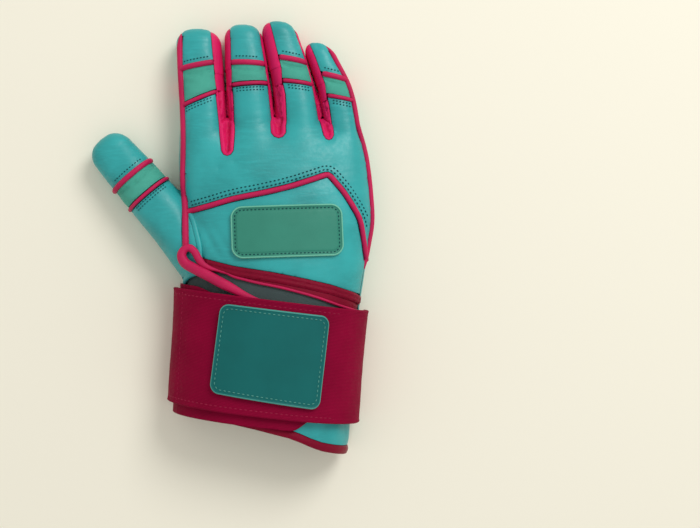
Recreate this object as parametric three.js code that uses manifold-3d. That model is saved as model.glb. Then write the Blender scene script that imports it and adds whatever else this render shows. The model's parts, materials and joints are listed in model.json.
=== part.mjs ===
// Batting glove for the right hand, lying palm down and filled out as if worn.
// Millimetres, +Z up, +Y to the fingertips, +X to the little finger, origin on the flat of the palm.
import * as THREE from 'three';
import { mergeVertices } from 'three/addons/utils/BufferGeometryUtils.js';
import Module from 'manifold-3d';

const wasm = await Module();
wasm.setup();

// Overall sizes
const PALM_WIDTH = 101;
const HAND_LENGTH = 190;
const HAND_START = -120;
const WRIST_DEPTH = 40;
const SEAM_LEVEL = 9.5;
const WALL = 1.8;
const PALM_SINK = 0.6;
const WRIST_LIFT = 2.8;

// Fits
const GAP = 0.3;
const OVERRUN = 160;

// Trim
const CHEVRON_RADIUS = 1.4;
const CHEVRON_SPACING = 6;
const CROSS_RADIUS = 1.2;
const INDEX_SIDE_RADIUS = 1.7;
const LITTLE_SIDE_RADIUS = 1.5;
const ROLL_RADIUS = 2.3;
const BINDING_WIDTH = 5;
const BINDING_RISE = 0.9;
const HEM_WIDTH = 4.4;
const HEM_DEPTH = 1.1;
const INDEX_SIDE_START = -8;
const LITTLE_SIDE_START = -10;
const INDEX_SIDE_INSET = 1.8;
const LITTLE_SIDE_INSET = 1;

// Finger joints
const AXIS_LEVEL = 5;
const TIP_CLEAR = 2.8;
const SWING_CLEAR = 0.9;
const FOLD_LIFT = 0.5;
const FLEX_HALF = 10;
const TIP_ROUND = 9;
const THUMB_ROUND = 10;

// Wrist closure, from the cuff outwards
const STRAP_WIDTH = 59.5;
const STRAP_LEAN = -7.1;
const STRAP_X = -4.1;
const STRAP_Y = -55.5;
const HINGE_OFFSET = 41;
const STRAP_END_LEVEL = 15;
const STRAP_SIDE_LEVEL = 6;
const BAND_THICKNESS = 2;
const BAND_OVERHANG = 5.5;
const BAND_END = 33;
const BAND_END_LEVEL = 18;
const PAD_THICKNESS = 1;
const PAD_LENGTH = 44;
const PAD_WIDTH = 46;
const PAD_OFFSET = -22;
const STRAP_THICKNESS = 2.6;
const STRAP_PATCH_LENGTH = 58;
const STRAP_PATCH_WIDTH = 46.5;
const STRAP_PATCH_OFFSET = 1.5;
const STRAP_PATCH_RAISE = 1.2;
const STRAP_PATCH_THICKNESS = 2.4;
const STRAP_PATCH_CORNER = 4;
const BACK_PATCH_X = 6;
const BACK_PATCH_SIDE_CLEAR = 22;
const BACK_PATCH_TOP_CLEAR = 3.2;
const BACK_PATCH_BOTTOM_CLEAR = 4.1;
const BACK_PATCH_LEAN = 2;
const BACK_PATCH_THICKNESS = 2.2;
const BACK_PATCH_CORNER = 6;

// Mesh fineness
const HAND_SIDES = 32;
const FINGER_SIDES = 16;
const PIPING_SIDES = 6;
const SIDE_STEPS = 18;
const SIDE_PLACES = 26;
const CHEVRON_STEPS = 27;
const CROSS_STEPS = 6;
const ROLL_STEPS = 22;
const CROWN_POWER = 2.3;
const SOLE_POWER = 4.5;

const HALF_PALM = PALM_WIDTH / 2;
const BASE_CLEAR = Math.hypot(TIP_CLEAR, AXIS_LEVEL) + SWING_CLEAR;

// Hand stations from the cuff to the knuckles: [along, centre, half width, height, lift] as shares
// of the hand length, half the palm width twice, the wrist depth and the wrist lift.
const handShares = [
  [0.000, -0.160, 0.905, 1.000, 1.00],
  [0.160, -0.125, 0.910, 0.990, 1.00],
  [0.340, -0.075, 0.915, 0.965, 1.00],
  [0.480, -0.035, 0.925, 0.925, 1.00],
  [0.580, 0.000, 0.950, 0.885, 0.20],
  [0.640, 0.018, 0.975, 0.855, 0.00],
  [0.710, 0.035, 1.000, 0.825, 0.00],
  [0.780, 0.026, 1.000, 0.780, 0.00],
  [0.850, 0.006, 0.992, 0.725, 0.00],
  [0.910, -0.014, 0.970, 0.655, 0.00],
  [0.955, -0.030, 0.920, 0.560, 0.00],
  [0.985, -0.036, 0.845, 0.450, 0.00],
  [1.000, -0.036, 0.740, 0.345, 0.00],
];

// Fingers, each from root to fold to tip: centre line and half widths as shares of half the palm width,
// fold and tip places as shares of the hand length, heights as shares of the wrist depth, lower and
// upper cross piping at the left and right edges as shares of half the flex length, and the edges of
// the back strip as shares of the half width.
const rootShare = 0.8421;
const fingerShares = [
  {
    name: 'index', centreShares: [-0.7366, -0.7782, -0.8158], lengthShares: [1.1032, 1.2511],
    halfShares: [0.2455, 0.2376, 0.2297], topShares: [0.625, 0.525, 0.4375],
    pipingShares: [-1.38, -0.56, 0.60, 0.94],
    leftShares: [-1.2, -1.2, -1.2], rightShares: [0.86, 0.62, 0.58],
  },
  {
    name: 'middle', centreShares: [-0.2277, -0.2950, -0.3446], lengthShares: [1.1247, 1.2647],
    halfShares: [0.2594, 0.2257, 0.2], topShares: [0.65, 0.5375, 0.4375],
    pipingShares: [-0.62, -0.64, 0.59, 0.48],
    leftShares: [-0.88, -0.70, -0.68], rightShares: [0.92, 0.86, 0.84],
  },
  {
    name: 'ring', centreShares: [0.2891, 0.1564, 0.0139], lengthShares: [1.1337, 1.2758],
    halfShares: [0.2416, 0.2119, 0.1861], topShares: [0.625, 0.5125, 0.425],
    pipingShares: [-0.54, -0.86, 0.92, 0.48],
    leftShares: [-0.86, -0.42, -0.42], rightShares: [0.92, 0.90, 0.86],
  },
  {
    name: 'little', centreShares: [0.7406, 0.6139, 0.4198], lengthShares: [1.0958, 1.2174],
    halfShares: [0.2020, 0.1723, 0.1505], topShares: [0.55, 0.45, 0.3875],
    pipingShares: [-0.54, -0.88, 0.86, 0.48],
    leftShares: [-0.80, -0.52, -0.42], rightShares: [1.2, 1.2, 1.2],
  },
];
const alongHand = (share) => HAND_START + share * HAND_LENGTH;
const ROOT_Y = alongHand(rootShare);
const fingers = fingerShares.map((shares) => {
  const [rootX, foldX, tipX] = shares.centreShares.map((share) => share * HALF_PALM);
  const [foldY, tipY] = shares.lengthShares.map(alongHand);
  const [rootHalf, foldHalf, tipHalf] = shares.halfShares.map((share) => share * HALF_PALM);
  const [rootTop, foldTop, tipTop] = shares.topShares.map((share) => share * WRIST_DEPTH);
  const piping = shares.pipingShares.map((share) => share * FLEX_HALF);
  const [lowerLeft, lowerRight, upperLeft, upperRight] = piping;
  const { name, leftShares, rightShares } = shares;
  return {
    name, rootX, foldX, tipX, foldY, tipY, rootHalf, foldHalf, tipHalf, rootTop, foldTop, tipTop,
    lowerLeft, lowerRight, upperLeft, upperRight, leftShares, rightShares,
  };
});

// Lowest place of each web along the hand, as a share of the hand length
const webShares = [
  { name: 'index_middle_fourchette', bottomShare: 0.8947, left: fingers[0], right: fingers[1] },
  { name: 'middle_ring_fourchette', bottomShare: 0.9395, left: fingers[1], right: fingers[2] },
  { name: 'ring_little_fourchette', bottomShare: 0.9368, left: fingers[2], right: fingers[3] },
];
const webs = webShares.map((web) => ({ ...web, bottom: alongHand(web.bottomShare) }));

// Thumb
const THUMB_X = -33;
const THUMB_Y = -9.5;
const THUMB_LEAN = 41;
const THUMB_LENGTH = 90;
const THUMB_FOLD = 58;
const THUMB_ROOT_HALF = 16;
const THUMB_FOLD_HALF = 12.6;
const THUMB_TIP_HALF = 11.4;
const THUMB_ROOT_TOP = 29;
const THUMB_FOLD_TOP = 22;
const THUMB_TIP_TOP = 18;
const THUMB_PIPING_OFFSET = 6.4;

// Places on the plan, as shares of half the palm width from the origin.
const chevronShares = [
  [-0.93, 0.388], [-0.70, 0.445], [-0.452, 0.515], [-0.095, 0.589], [0.158, 0.652],
  [0.389, 0.728], [0.500, 0.767], [0.535, 0.776], [0.565, 0.760], [0.626, 0.692],
  [0.695, 0.612], [0.768, 0.506], [0.873, 0.326], [0.925, 0.084], [0.957, -0.105],
];
const wristLineShares = [
  [-1.30, 0.10], [-0.757, -0.084], [-0.420, -0.168], [-0.021, -0.231], [0.294, -0.294],
  [0.568, -0.358], [0.757, -0.421], [1.30, -0.600],
];
const rollShares = [
  [-0.800, 0.000], [-0.835, 0.062], [-0.900, 0.060], [-0.925, 0.005], [-0.905, -0.060],
  [-0.790, -0.145], [-0.630, -0.240], [-0.440, -0.335], [-0.310, -0.400],
];
const CUFF_TOP_LEFT = -31;
const CUFF_TOP_RIGHT = -37;
const CUFF_END_LEFT = -84;
const CUFF_END_RIGHT = -110;

const colours = {
  leather: 0x35b5ae, flex: 0x4cb596, lycra: 0xc01858, elastic: 0x8e0c38,
  rubber: 0x1f7a76, badge: 0x58b8a0, gusset: 0x5f8f8c, pad: 0x6a1030,
};
const finish = {
  leather: { color: colours.leather, roughness: 0.42, metalness: 0 },
  flex: { color: colours.flex, roughness: 0.6, metalness: 0 },
  lycra: { color: colours.lycra, roughness: 0.7, metalness: 0 },
  elastic: { color: colours.elastic, roughness: 0.8, metalness: 0 },
  rubber: { color: colours.rubber, roughness: 0.5, metalness: 0 },
  badge: { color: colours.badge, roughness: 0.5, metalness: 0 },
  gusset: { color: colours.gusset, roughness: 0.7, metalness: 0 },
  pad: { color: colours.pad, roughness: 0.95, metalness: 0 },
};

const group = new THREE.Group();

// A closed three.js geometry as a solid that can be cut and joined
function solidFrom(geometry) {
  const bare = geometry.clone();
  bare.deleteAttribute('normal');
  bare.deleteAttribute('uv');
  const merged = mergeVertices(bare);
  const vertProperties = new Float32Array(merged.attributes.position.array);
  const triVerts = new Uint32Array(merged.index.array);
  return new wasm.Manifold(new wasm.Mesh({ numProp: 3, vertProperties, triVerts }));
}

// The largest body of a cut solid, without crumbs
function largest(solid) {
  const bodies = solid.decompose();
  return bodies.reduce((best, body) => (body.volume() > best.volume() ? body : best));
}

function joined(solids) {
  return solids.reduce((whole, solid) => whole.add(solid));
}

function without(solid, ...tools) {
  return tools.reduce((rest, tool) => rest.subtract(tool), solid);
}

function place(name, solid, look) {
  const body = largest(solid);
  const mesh = body.getMesh();
  const geometry = new THREE.BufferGeometry();
  const corners = new Float32Array(mesh.vertProperties);
  geometry.setAttribute('position', new THREE.BufferAttribute(corners, 3));
  geometry.setIndex(new THREE.BufferAttribute(new Uint32Array(mesh.triVerts), 1));
  geometry.computeVertexNormals();
  const piece = new THREE.Mesh(geometry, new THREE.MeshStandardMaterial(look));
  piece.name = name;
  group.add(piece);
  return body;
}

// A plan outline carried straight up between two levels
function prism(outline, low, high) {
  const shape = new THREE.Shape(outline.map(([x, y]) => new THREE.Vector2(x, y)));
  const geometry = new THREE.ExtrudeGeometry(shape, { depth: high - low, bevelEnabled: false });
  geometry.translate(0, 0, low);
  return solidFrom(geometry);
}

const pillar = (outline) => prism(outline, -OVERRUN, OVERRUN);
const above = (outline, level) => prism(outline, level, OVERRUN);
const planOf = (shares) => shares.map(([x, y]) => [x * HALF_PALM, y * HALF_PALM]);
const everywhere = [[-OVERRUN, -OVERRUN], [OVERRUN, -OVERRUN], [OVERRUN, OVERRUN], [-OVERRUN, OVERRUN]];

function mix(a, b, share) {
  return a + (b - a) * share;
}

// A tube of level sections along a line in the plan. Each station has its place along the line, the
// centre across it, the half width, the crown's height and the sole's height. The rings of an offset
// tube move out with the surface.
class Tube {
  constructor(originX, originY, lean, sides, stations) {
    const angle = THREE.MathUtils.degToRad(lean);
    this.origin = [originX, originY];
    this.along = [-Math.sin(angle), Math.cos(angle)];
    this.across = [Math.cos(angle), Math.sin(angle)];
    this.sides = sides;
    this.stations = stations;
  }

  world(u, t) {
    return [
      this.origin[0] + u * this.across[0] + t * this.along[0],
      this.origin[1] + u * this.across[1] + t * this.along[1],
    ];
  }

  local(x, y) {
    const dx = x - this.origin[0];
    const dy = y - this.origin[1];
    return [dx * this.across[0] + dy * this.across[1], dx * this.along[0] + dy * this.along[1]];
  }

  stationAt(t) {
    const next = this.stations.findIndex((station) => station.t >= t);
    if (next <= 0) {
      return next === 0 && this.stations[0].t === t ? this.stations[0] : null;
    }
    const low = this.stations[next - 1];
    const high = this.stations[next];
    const share = (t - low.t) / (high.t - low.t);
    return {
      t,
      centre: mix(low.centre, high.centre, share),
      half: mix(low.half, high.half, share),
      top: mix(low.top, high.top, share),
      sole: mix(low.sole, high.sole, share),
    };
  }

  heightAt(x, y, offset = 0) {
    const [u, t] = this.local(x, y);
    const station = this.stationAt(t);
    if (!station) {
      return SEAM_LEVEL;
    }
    const reach = Math.min(Math.abs(u - station.centre) / (station.half + offset), 1);
    const rise = (1 - reach ** CROWN_POWER) ** (1 / CROWN_POWER);
    return SEAM_LEVEL + (station.top - SEAM_LEVEL + offset) * rise;
  }

  solid(offset, startRun = 0) {
    const positions = [];
    const indices = [];
    const count = this.stations.length;
    this.stations.forEach((station, row) => {
      const push = station.push ?? 0;
      const t = station.t + push * offset - (row === 0 ? startRun : 0);
      for (let side = 0; side < this.sides; side += 1) {
        const angle = (2 * Math.PI * side) / this.sides;
        const power = Math.sin(angle) > 0 ? CROWN_POWER : SOLE_POWER;
        const cos = Math.sign(Math.cos(angle)) * Math.abs(Math.cos(angle)) ** (2 / power);
        const sin = Math.sign(Math.sin(angle)) * Math.abs(Math.sin(angle)) ** (2 / power);
        const depth = sin > 0 ? station.top - SEAM_LEVEL : SEAM_LEVEL - station.sole;
        const [x, y] = this.world(station.centre + (station.half + offset) * cos, t);
        positions.push(x, y, SEAM_LEVEL + (depth + offset) * sin);
      }
    });
    for (const row of [0, count - 1]) {
      const station = this.stations[row];
      const t = station.t + (station.push ?? 0) * offset - (row === 0 ? startRun : 0);
      positions.push(...this.world(station.centre, t), SEAM_LEVEL);
    }
    const lowCap = count * this.sides;
    const highCap = lowCap + 1;
    for (let side = 0; side < this.sides; side += 1) {
      const next = (side + 1) % this.sides;
      for (let row = 0; row < count - 1; row += 1) {
        const a = row * this.sides + side;
        const b = row * this.sides + next;
        indices.push(a, a + this.sides, b, b, a + this.sides, b + this.sides);
      }
      indices.push(lowCap, side, next);
      const last = (count - 1) * this.sides;
      indices.push(highCap, last + next, last + side);
    }
    const geometry = new THREE.BufferGeometry();
    geometry.setAttribute('position', new THREE.Float32BufferAttribute(positions, 3));
    geometry.setIndex(indices);
    return solidFrom(geometry);
  }
}

// Stations of a rounded end, the section shrinking towards the seam level. The centre drifts on
// sideways by a share of the length.
function roundedEnd(tip, station, round, drift = 0) {
  const endShares = [0, 0.45, 0.75, 0.92, 1];
  return endShares.map((share) => {
    const shrink = Math.max(1 - share ** 2.6, 0) ** (1 / 2.6);
    const held = Math.max(shrink, 0.34);
    return {
      t: tip - round * (1 - share),
      centre: station.centre - drift * round * (1 - share),
      half: station.half * held,
      top: SEAM_LEVEL + (station.top - SEAM_LEVEL) * held,
      sole: SEAM_LEVEL - (SEAM_LEVEL - station.sole) * held,
      push: share,
    };
  });
}

const handRows = handShares.map(([along, centre, half, height, lift], row) => ({
  t: HAND_START + along * HAND_LENGTH,
  centre: centre * HALF_PALM,
  half: half * HALF_PALM,
  top: height * WRIST_DEPTH,
  sole: lift * (WRIST_LIFT + PALM_SINK) - PALM_SINK,
  push: row === handShares.length - 1 ? 1 : 0,
}));
const handTube = new Tube(0, 0, 0, HAND_SIDES, handRows);

function fingerTube(finger) {
  const rows = [
    { t: ROOT_Y, centre: finger.rootX, half: finger.rootHalf, top: finger.rootTop, sole: -PALM_SINK },
    { t: mix(ROOT_Y, finger.foldY, 0.5), centre: mix(finger.rootX, finger.foldX, 0.3),
      half: mix(finger.rootHalf, finger.foldHalf, 0.45), top: mix(finger.rootTop, finger.foldTop, 0.6),
      sole: -PALM_SINK },
    { t: finger.foldY, centre: finger.foldX, half: finger.foldHalf, top: finger.foldTop, sole: -PALM_SINK },
  ];
  const end = { centre: finger.tipX, half: finger.tipHalf, top: finger.tipTop, sole: -PALM_SINK };
  const drift = (finger.tipX - finger.foldX) / (finger.tipY - finger.foldY);
  const tipRows = roundedEnd(finger.tipY, end, TIP_ROUND, drift);
  return new Tube(0, 0, 0, FINGER_SIDES, [...rows, ...tipRows]);
}

fingers.forEach((finger) => {
  finger.tube = fingerTube(finger);
  const run = [finger.tipX - finger.foldX, finger.tipY - finger.foldY];
  const length = Math.hypot(...run);
  finger.along = run.map((value) => value / length);
  finger.across = [finger.along[1], -finger.along[0]];
});

// A place by its distances across and along a finger from its fold
function spot(finger, u, t) {
  return [
    finger.foldX + u * finger.across[0] + t * finger.along[0],
    finger.foldY + u * finger.across[1] + t * finger.along[1],
  ];
}

// The space beyond a line that crosses a finger at two places along it, its left and right edges
function beyond(finger, left, right, shift = 0) {
  const slope = (right - left) / (2 * finger.foldHalf);
  const middle = (left + right) / 2 + shift;
  return pillar([
    spot(finger, -OVERRUN, middle - slope * OVERRUN),
    spot(finger, OVERRUN, middle + slope * OVERRUN),
    spot(finger, OVERRUN, OVERRUN),
    spot(finger, -OVERRUN, OVERRUN),
  ]);
}

const thumbTube = new Tube(THUMB_X, THUMB_Y, THUMB_LEAN, FINGER_SIDES, [
  { t: 0, centre: 0, half: THUMB_ROOT_HALF, top: THUMB_ROOT_TOP, sole: -PALM_SINK },
  { t: THUMB_FOLD * 0.5, centre: 0, half: mix(THUMB_ROOT_HALF, THUMB_FOLD_HALF, 0.7),
    top: mix(THUMB_ROOT_TOP, THUMB_FOLD_TOP, 0.6), sole: -PALM_SINK },
  { t: THUMB_FOLD, centre: 0, half: THUMB_FOLD_HALF, top: THUMB_FOLD_TOP, sole: -PALM_SINK },
  ...roundedEnd(THUMB_LENGTH, {
    centre: 0, half: THUMB_TIP_HALF, top: THUMB_TIP_TOP, sole: -PALM_SINK,
  }, THUMB_ROUND),
]);
const thumb = {
  name: 'thumb', tube: thumbTube, foldHalf: THUMB_FOLD_HALF,
  foldX: thumbTube.world(0, THUMB_FOLD)[0], foldY: thumbTube.world(0, THUMB_FOLD)[1],
  along: thumbTube.along, across: thumbTube.across,
  lowerLeft: -THUMB_PIPING_OFFSET, lowerRight: -THUMB_PIPING_OFFSET,
  upperLeft: THUMB_PIPING_OFFSET, upperRight: THUMB_PIPING_OFFSET,
};

const tubes = [handTube, thumb.tube, ...fingers.map((finger) => finger.tube)];

function heightAt(x, y) {
  return Math.max(...tubes.map((tube) => tube.heightAt(x, y)));
}

// A round tube along plan places, lying on the back of the glove or of one finger
function seam(plan, radius, steps, rise = 0, levelAt = heightAt) {
  const points = plan.map(([x, y]) => new THREE.Vector3(x, y, levelAt(x, y) + rise));
  const curve = new THREE.CatmullRomCurve3(points, false, 'catmullrom', 0.35);
  const round = new THREE.Shape(Array.from({ length: PIPING_SIDES }, (_, side) => {
    const angle = (2 * Math.PI * (side + 0.5)) / PIPING_SIDES;
    return new THREE.Vector2(radius * Math.cos(angle), radius * Math.sin(angle));
  }));
  const settings = { extrudePath: curve, steps, bevelEnabled: false };
  return solidFrom(new THREE.ExtrudeGeometry(round, settings));
}

// Plan places moved sideways from their own line, to its left where the distance is positive
function shifted(plan, distance) {
  return plan.map(([x, y], i) => {
    const [fromX, fromY] = plan[Math.max(i - 1, 0)];
    const [toX, toY] = plan[Math.min(i + 1, plan.length - 1)];
    const length = Math.hypot(toX - fromX, toY - fromY);
    return [x - distance * (toY - fromY) / length, y + distance * (toX - fromX) / length];
  });
}

function finePlan(plan, spacing) {
  const fine = [];
  for (let i = 0; i < plan.length - 1; i += 1) {
    const length = Math.hypot(plan[i + 1][0] - plan[i][0], plan[i + 1][1] - plan[i][1]);
    const parts = Math.max(1, Math.round(length / spacing));
    for (let k = 0; k < parts; k += 1) {
      fine.push([mix(plan[i][0], plan[i + 1][0], k / parts), mix(plan[i][1], plan[i + 1][1], k / parts)]);
    }
  }
  fine.push(plan[plan.length - 1]);
  return fine;
}

const outer = new Map();
fingers.forEach((finger) => outer.set(finger, finger.tube.solid(0)));
outer.set(thumb, thumb.tube.solid(0));
const handOuter = handTube.solid(0);
const hollow = joined([
  handTube.solid(-WALL, OVERRUN),
  thumb.tube.solid(-WALL),
  ...fingers.map((finger) => finger.tube.solid(-WALL)),
]);
const ground = prism(everywhere, -OVERRUN, 0);
const upperHalf = above(everywhere, SEAM_LEVEL + GAP / 2);

// Outline of the glove in the plan at a place along it
function leftEdge(y) {
  const rows = [handTube.stationAt(y), fingers[0].tube.stationAt(y)].filter(Boolean);
  return Math.min(...rows.map((row) => row.centre - row.half));
}

function rightEdge(y) {
  const rows = [handTube.stationAt(y), fingers[3].tube.stationAt(y)].filter(Boolean);
  return Math.max(...rows.map((row) => row.centre + row.half));
}

function levels(low, high, parts) {
  return Array.from({ length: parts + 1 }, (_, i) => mix(low, high, i / parts));
}

const indexSidePlan = levels(HAND_START * 0.98, fingers[0].tipY - TIP_ROUND * 0.5, SIDE_PLACES)
  .map((y) => [leftEdge(y) + INDEX_SIDE_INSET, y]);
const littleSidePlan = levels(HAND_START * 0.98, fingers[3].tipY - TIP_ROUND * 0.5, SIDE_PLACES)
  .map((y) => [rightEdge(y) - LITTLE_SIDE_INSET, y]);

// The back of the glove between its side seams
function backZone(grow) {
  const left = indexSidePlan.map(([x, y]) => [x - grow, y]);
  const right = littleSidePlan.map(([x, y]) => [x + grow, y]);
  const leftEnd = left[left.length - 1];
  const rightEnd = right[right.length - 1];
  return above([
    ...left.slice().reverse(),
    [left[0][0], -OVERRUN],
    [right[0][0], -OVERRUN],
    ...right,
    [rightEnd[0], OVERRUN],
    [leftEnd[0], OVERRUN],
  ], SEAM_LEVEL + GAP / 2 - grow);
}

// The back strip of a finger in the plan, between the edges of its side walls
function stripZone(finger, grow) {
  const rows = [ROOT_Y, mix(ROOT_Y, finger.foldY, 0.5), finger.foldY, finger.tipY - TIP_ROUND];
  const edge = (y, row, shares) => {
    const station = finger.tube.stationAt(y);
    const share = y <= finger.foldY
      ? mix(shares[0], shares[1], (y - ROOT_Y) / (finger.foldY - ROOT_Y))
      : mix(shares[1], shares[2], (y - finger.foldY) / (finger.tipY - finger.foldY));
    return station.centre + share * station.half;
  };
  const left = rows.map((y, row) => [edge(y, row, finger.leftShares) - grow, y]);
  const right = rows.map((y, row) => [edge(y, row, finger.rightShares) + grow, y]);
  const last = rows.length - 1;
  const rise = OVERRUN;
  const drift = (finger.tipX - finger.foldX) / (finger.tipY - finger.foldY) * rise;
  return {
    left,
    right,
    outline: [
      ...left.slice().reverse(),
      ...right,
      [right[last][0] + drift, right[last][1] + rise],
      [left[last][0] + drift, left[last][1] + rise],
    ],
  };
}

// The plan between two fingers' back strips, down to the rounded end of the web
function webZone(web, grow) {
  const right = stripZone(web.left, -grow).right;
  const left = stripZone(web.right, -grow).left;
  const edgeAt = (edge, y) => {
    const next = Math.max(1, edge.findIndex((point) => point[1] >= y));
    const share = (y - edge[next - 1][1]) / (edge[next][1] - edge[next - 1][1]);
    return mix(edge[next - 1][0], edge[next][0], share);
  };
  const bottom = web.bottom - grow;
  const lowLeft = edgeAt(right, web.bottom);
  const lowRight = edgeAt(left, web.bottom);
  const round = (lowRight - lowLeft) / 2;
  const climb = (edge) => edge.filter((point) => point[1] > web.bottom + round);
  return pillar([
    [lowLeft, bottom + round],
    [mix(lowLeft, lowRight, 0.2), bottom + round * 0.25],
    [mix(lowLeft, lowRight, 0.5), bottom],
    [mix(lowLeft, lowRight, 0.8), bottom + round * 0.25],
    [lowRight, bottom + round],
    ...climb(left),
    ...climb(right).reverse(),
  ]);
}

function between(solid, region) {
  return solid.intersect(region);
}

// Side seams and their piping
const indexSideBase = indexSidePlan.filter(([, y]) => y > INDEX_SIDE_START);
const littleSideBase = littleSidePlan.filter(([, y]) => y > LITTLE_SIDE_START);
const indexSide = seam(indexSideBase, INDEX_SIDE_RADIUS, SIDE_STEPS);
const indexSideRoom = seam(indexSideBase, INDEX_SIDE_RADIUS + GAP, SIDE_STEPS);
const littleSide = seam(littleSideBase, LITTLE_SIDE_RADIUS, SIDE_STEPS);
const littleSideRoom = seam(littleSideBase, LITTLE_SIDE_RADIUS + GAP, SIDE_STEPS);
const sideRoom = indexSideRoom.add(littleSideRoom);

function beforeFold(finger, solid) {
  return without(solid, beyond(finger, -BASE_CLEAR, -BASE_CLEAR));
}

function tipOf(finger, solid) {
  return between(solid, beyond(finger, TIP_CLEAR, TIP_CLEAR));
}

const digits = [...fingers, thumb];
const digitBases = digits.map((digit) => beforeFold(digit, outer.get(digit)));
const skin = without(joined([handOuter, ...digitBases]), hollow, ground);
const cuffLine = [
  [-OVERRUN, mix(CUFF_TOP_LEFT, CUFF_TOP_RIGHT, 0.5 - OVERRUN / PALM_WIDTH)],
  [OVERRUN, mix(CUFF_TOP_LEFT, CUFF_TOP_RIGHT, 0.5 + OVERRUN / PALM_WIDTH)],
];
const endLine = [
  [-OVERRUN, mix(CUFF_END_LEFT, CUFF_END_RIGHT, 0.5 - OVERRUN / PALM_WIDTH)],
  [OVERRUN, mix(CUFF_END_LEFT, CUFF_END_RIGHT, 0.5 + OVERRUN / PALM_WIDTH)],
];

// The plan on the cuff side of a line across the glove
function below(line, shift) {
  return pillar([
    ...line.map(([x, y]) => [x, y + shift]),
    [OVERRUN, -2 * OVERRUN],
    [-OVERRUN, -2 * OVERRUN],
  ]);
}

const wristLine = planOf(wristLineShares);
const chevron = planOf(chevronShares);
const chevronFine = finePlan(chevron, CHEVRON_SPACING);
// A plan line with its ends carried on past the glove's sides
function carriedOn(plan) {
  return [[-OVERRUN, plan[0][1]], ...plan, [OVERRUN, plan[plan.length - 1][1]]];
}

const chevronRoom = CHEVRON_RADIUS + GAP;
const aboveChevron = carriedOn(shifted(chevron, chevronRoom));
const underChevron = carriedOn(shifted(chevron, -chevronRoom));
const wristEnds = carriedOn(wristLine);
const chevronSolid = seam(chevronFine, CHEVRON_RADIUS, CHEVRON_STEPS);
const back = backZone(0);
const backRoom = backZone(GAP);
const webRooms = webs.map((web) => webZone(web, GAP));

function crossSeam(finger, left, right, radius) {
  const places = levels(-0.94, 0.94, 6).map((share) => {
    const along = mix(left, right, (share + 1) / 2);
    return spot(finger, share * finger.foldHalf, along);
  });
  return seam(places, radius, CROSS_STEPS, 0, (x, y) => finger.tube.heightAt(x, y));
}

const crossRoom = CROSS_RADIUS + GAP;
const beyondLower = (digit, shift) => beyond(digit, digit.lowerLeft, digit.lowerRight, shift);
const beyondUpper = (digit, shift) => beyond(digit, digit.upperLeft, digit.upperRight, shift);

// Back of the hand
const backOfHand = joined([handOuter, ...fingers.map((finger) => without(
  outer.get(finger),
  beyondLower(finger, -crossRoom),
))]);
const backSkin = without(backOfHand.intersect(back), hollow, below(aboveChevron, 0));
place('upper_back_panel', without(backSkin, ...webRooms, sideRoom), finish.leather);
place('lower_back_panel', without(
  handOuter.intersect(back).intersect(below(underChevron, 0)),
  hollow,
  below(wristEnds, GAP / 2),
  sideRoom,
), finish.leather);
place('chevron_piping', without(chevronSolid, sideRoom), finish.lycra);
place('index_side_piping', beforeFold(fingers[0], indexSide), finish.lycra);
place('little_side_piping', beforeFold(fingers[3], littleSide), finish.lycra);
webs.forEach((web) => place(web.name, between(skin, webZone(web, 0)), finish.lycra));

// Wrist edge, slit and cuff
const bindingOuter = handTube.solid(BINDING_RISE);
place('wrist_edge_binding', without(
  bindingOuter.intersect(back),
  hollow,
  sideRoom,
  below(wristEnds, -BINDING_WIDTH),
  without(pillar(everywhere), below(wristEnds, -GAP / 2)),
), finish.lycra);
const gussetOuter = handTube.solid(-BINDING_RISE / 2);
place('slit_gusset', without(
  gussetOuter.intersect(back),
  hollow,
  sideRoom,
  below(cuffLine, GAP / 2),
  without(pillar(everywhere), below(wristEnds, -BINDING_WIDTH - GAP)),
), finish.gusset);
place('cuff_panel', without(
  handOuter.intersect(below(cuffLine, -GAP / 2)),
  hollow,
  below(endLine, HEM_WIDTH + GAP),
), finish.leather);
const hemInner = handTube.solid(-WALL - HEM_DEPTH, OVERRUN);
place('cuff_hem_binding', without(
  handOuter.intersect(below(endLine, HEM_WIDTH)),
  hemInner,
  below(endLine, 0),
), finish.lycra);

// Strap frame: u along the strap towards the little finger, v towards the fingertips
const strapLean = THREE.MathUtils.degToRad(STRAP_LEAN);
function strapSpot(u, v) {
  return [
    STRAP_X + u * Math.cos(strapLean) - v * Math.sin(strapLean),
    STRAP_Y + u * Math.sin(strapLean) + v * Math.cos(strapLean),
  ];
}

function strapBox(left, right, low, high) {
  return [strapSpot(left, low), strapSpot(right, low), strapSpot(right, high), strapSpot(left, high)];
}

const halfStrap = STRAP_WIDTH / 2;
const strapArea = (left, right, grow = 0) => pillar(
  strapBox(left, right, -halfStrap - grow, halfStrap + grow),
);
const bandArea = pillar(strapBox(-OVERRUN, OVERRUN, -halfStrap - BAND_OVERHANG, halfStrap - BINDING_RISE));
const bandInside = GAP;
const bandOutside = bandInside + BAND_THICKNESS;
const strapInside = bandOutside + GAP;
const strapOutside = strapInside + STRAP_THICKNESS;
const layer = (inside, outside) => without(handTube.solid(outside), handTube.solid(inside, OVERRUN));
const padBox = (grow) => above(strapBox(
  PAD_OFFSET - PAD_LENGTH / 2 - grow,
  PAD_OFFSET + PAD_LENGTH / 2 + grow,
  -PAD_WIDTH / 2 - grow,
  PAD_WIDTH / 2 + grow,
), SEAM_LEVEL);
const bandGap = above(strapBox(BAND_END, OVERRUN, -OVERRUN, OVERRUN), BAND_END_LEVEL);

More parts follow.
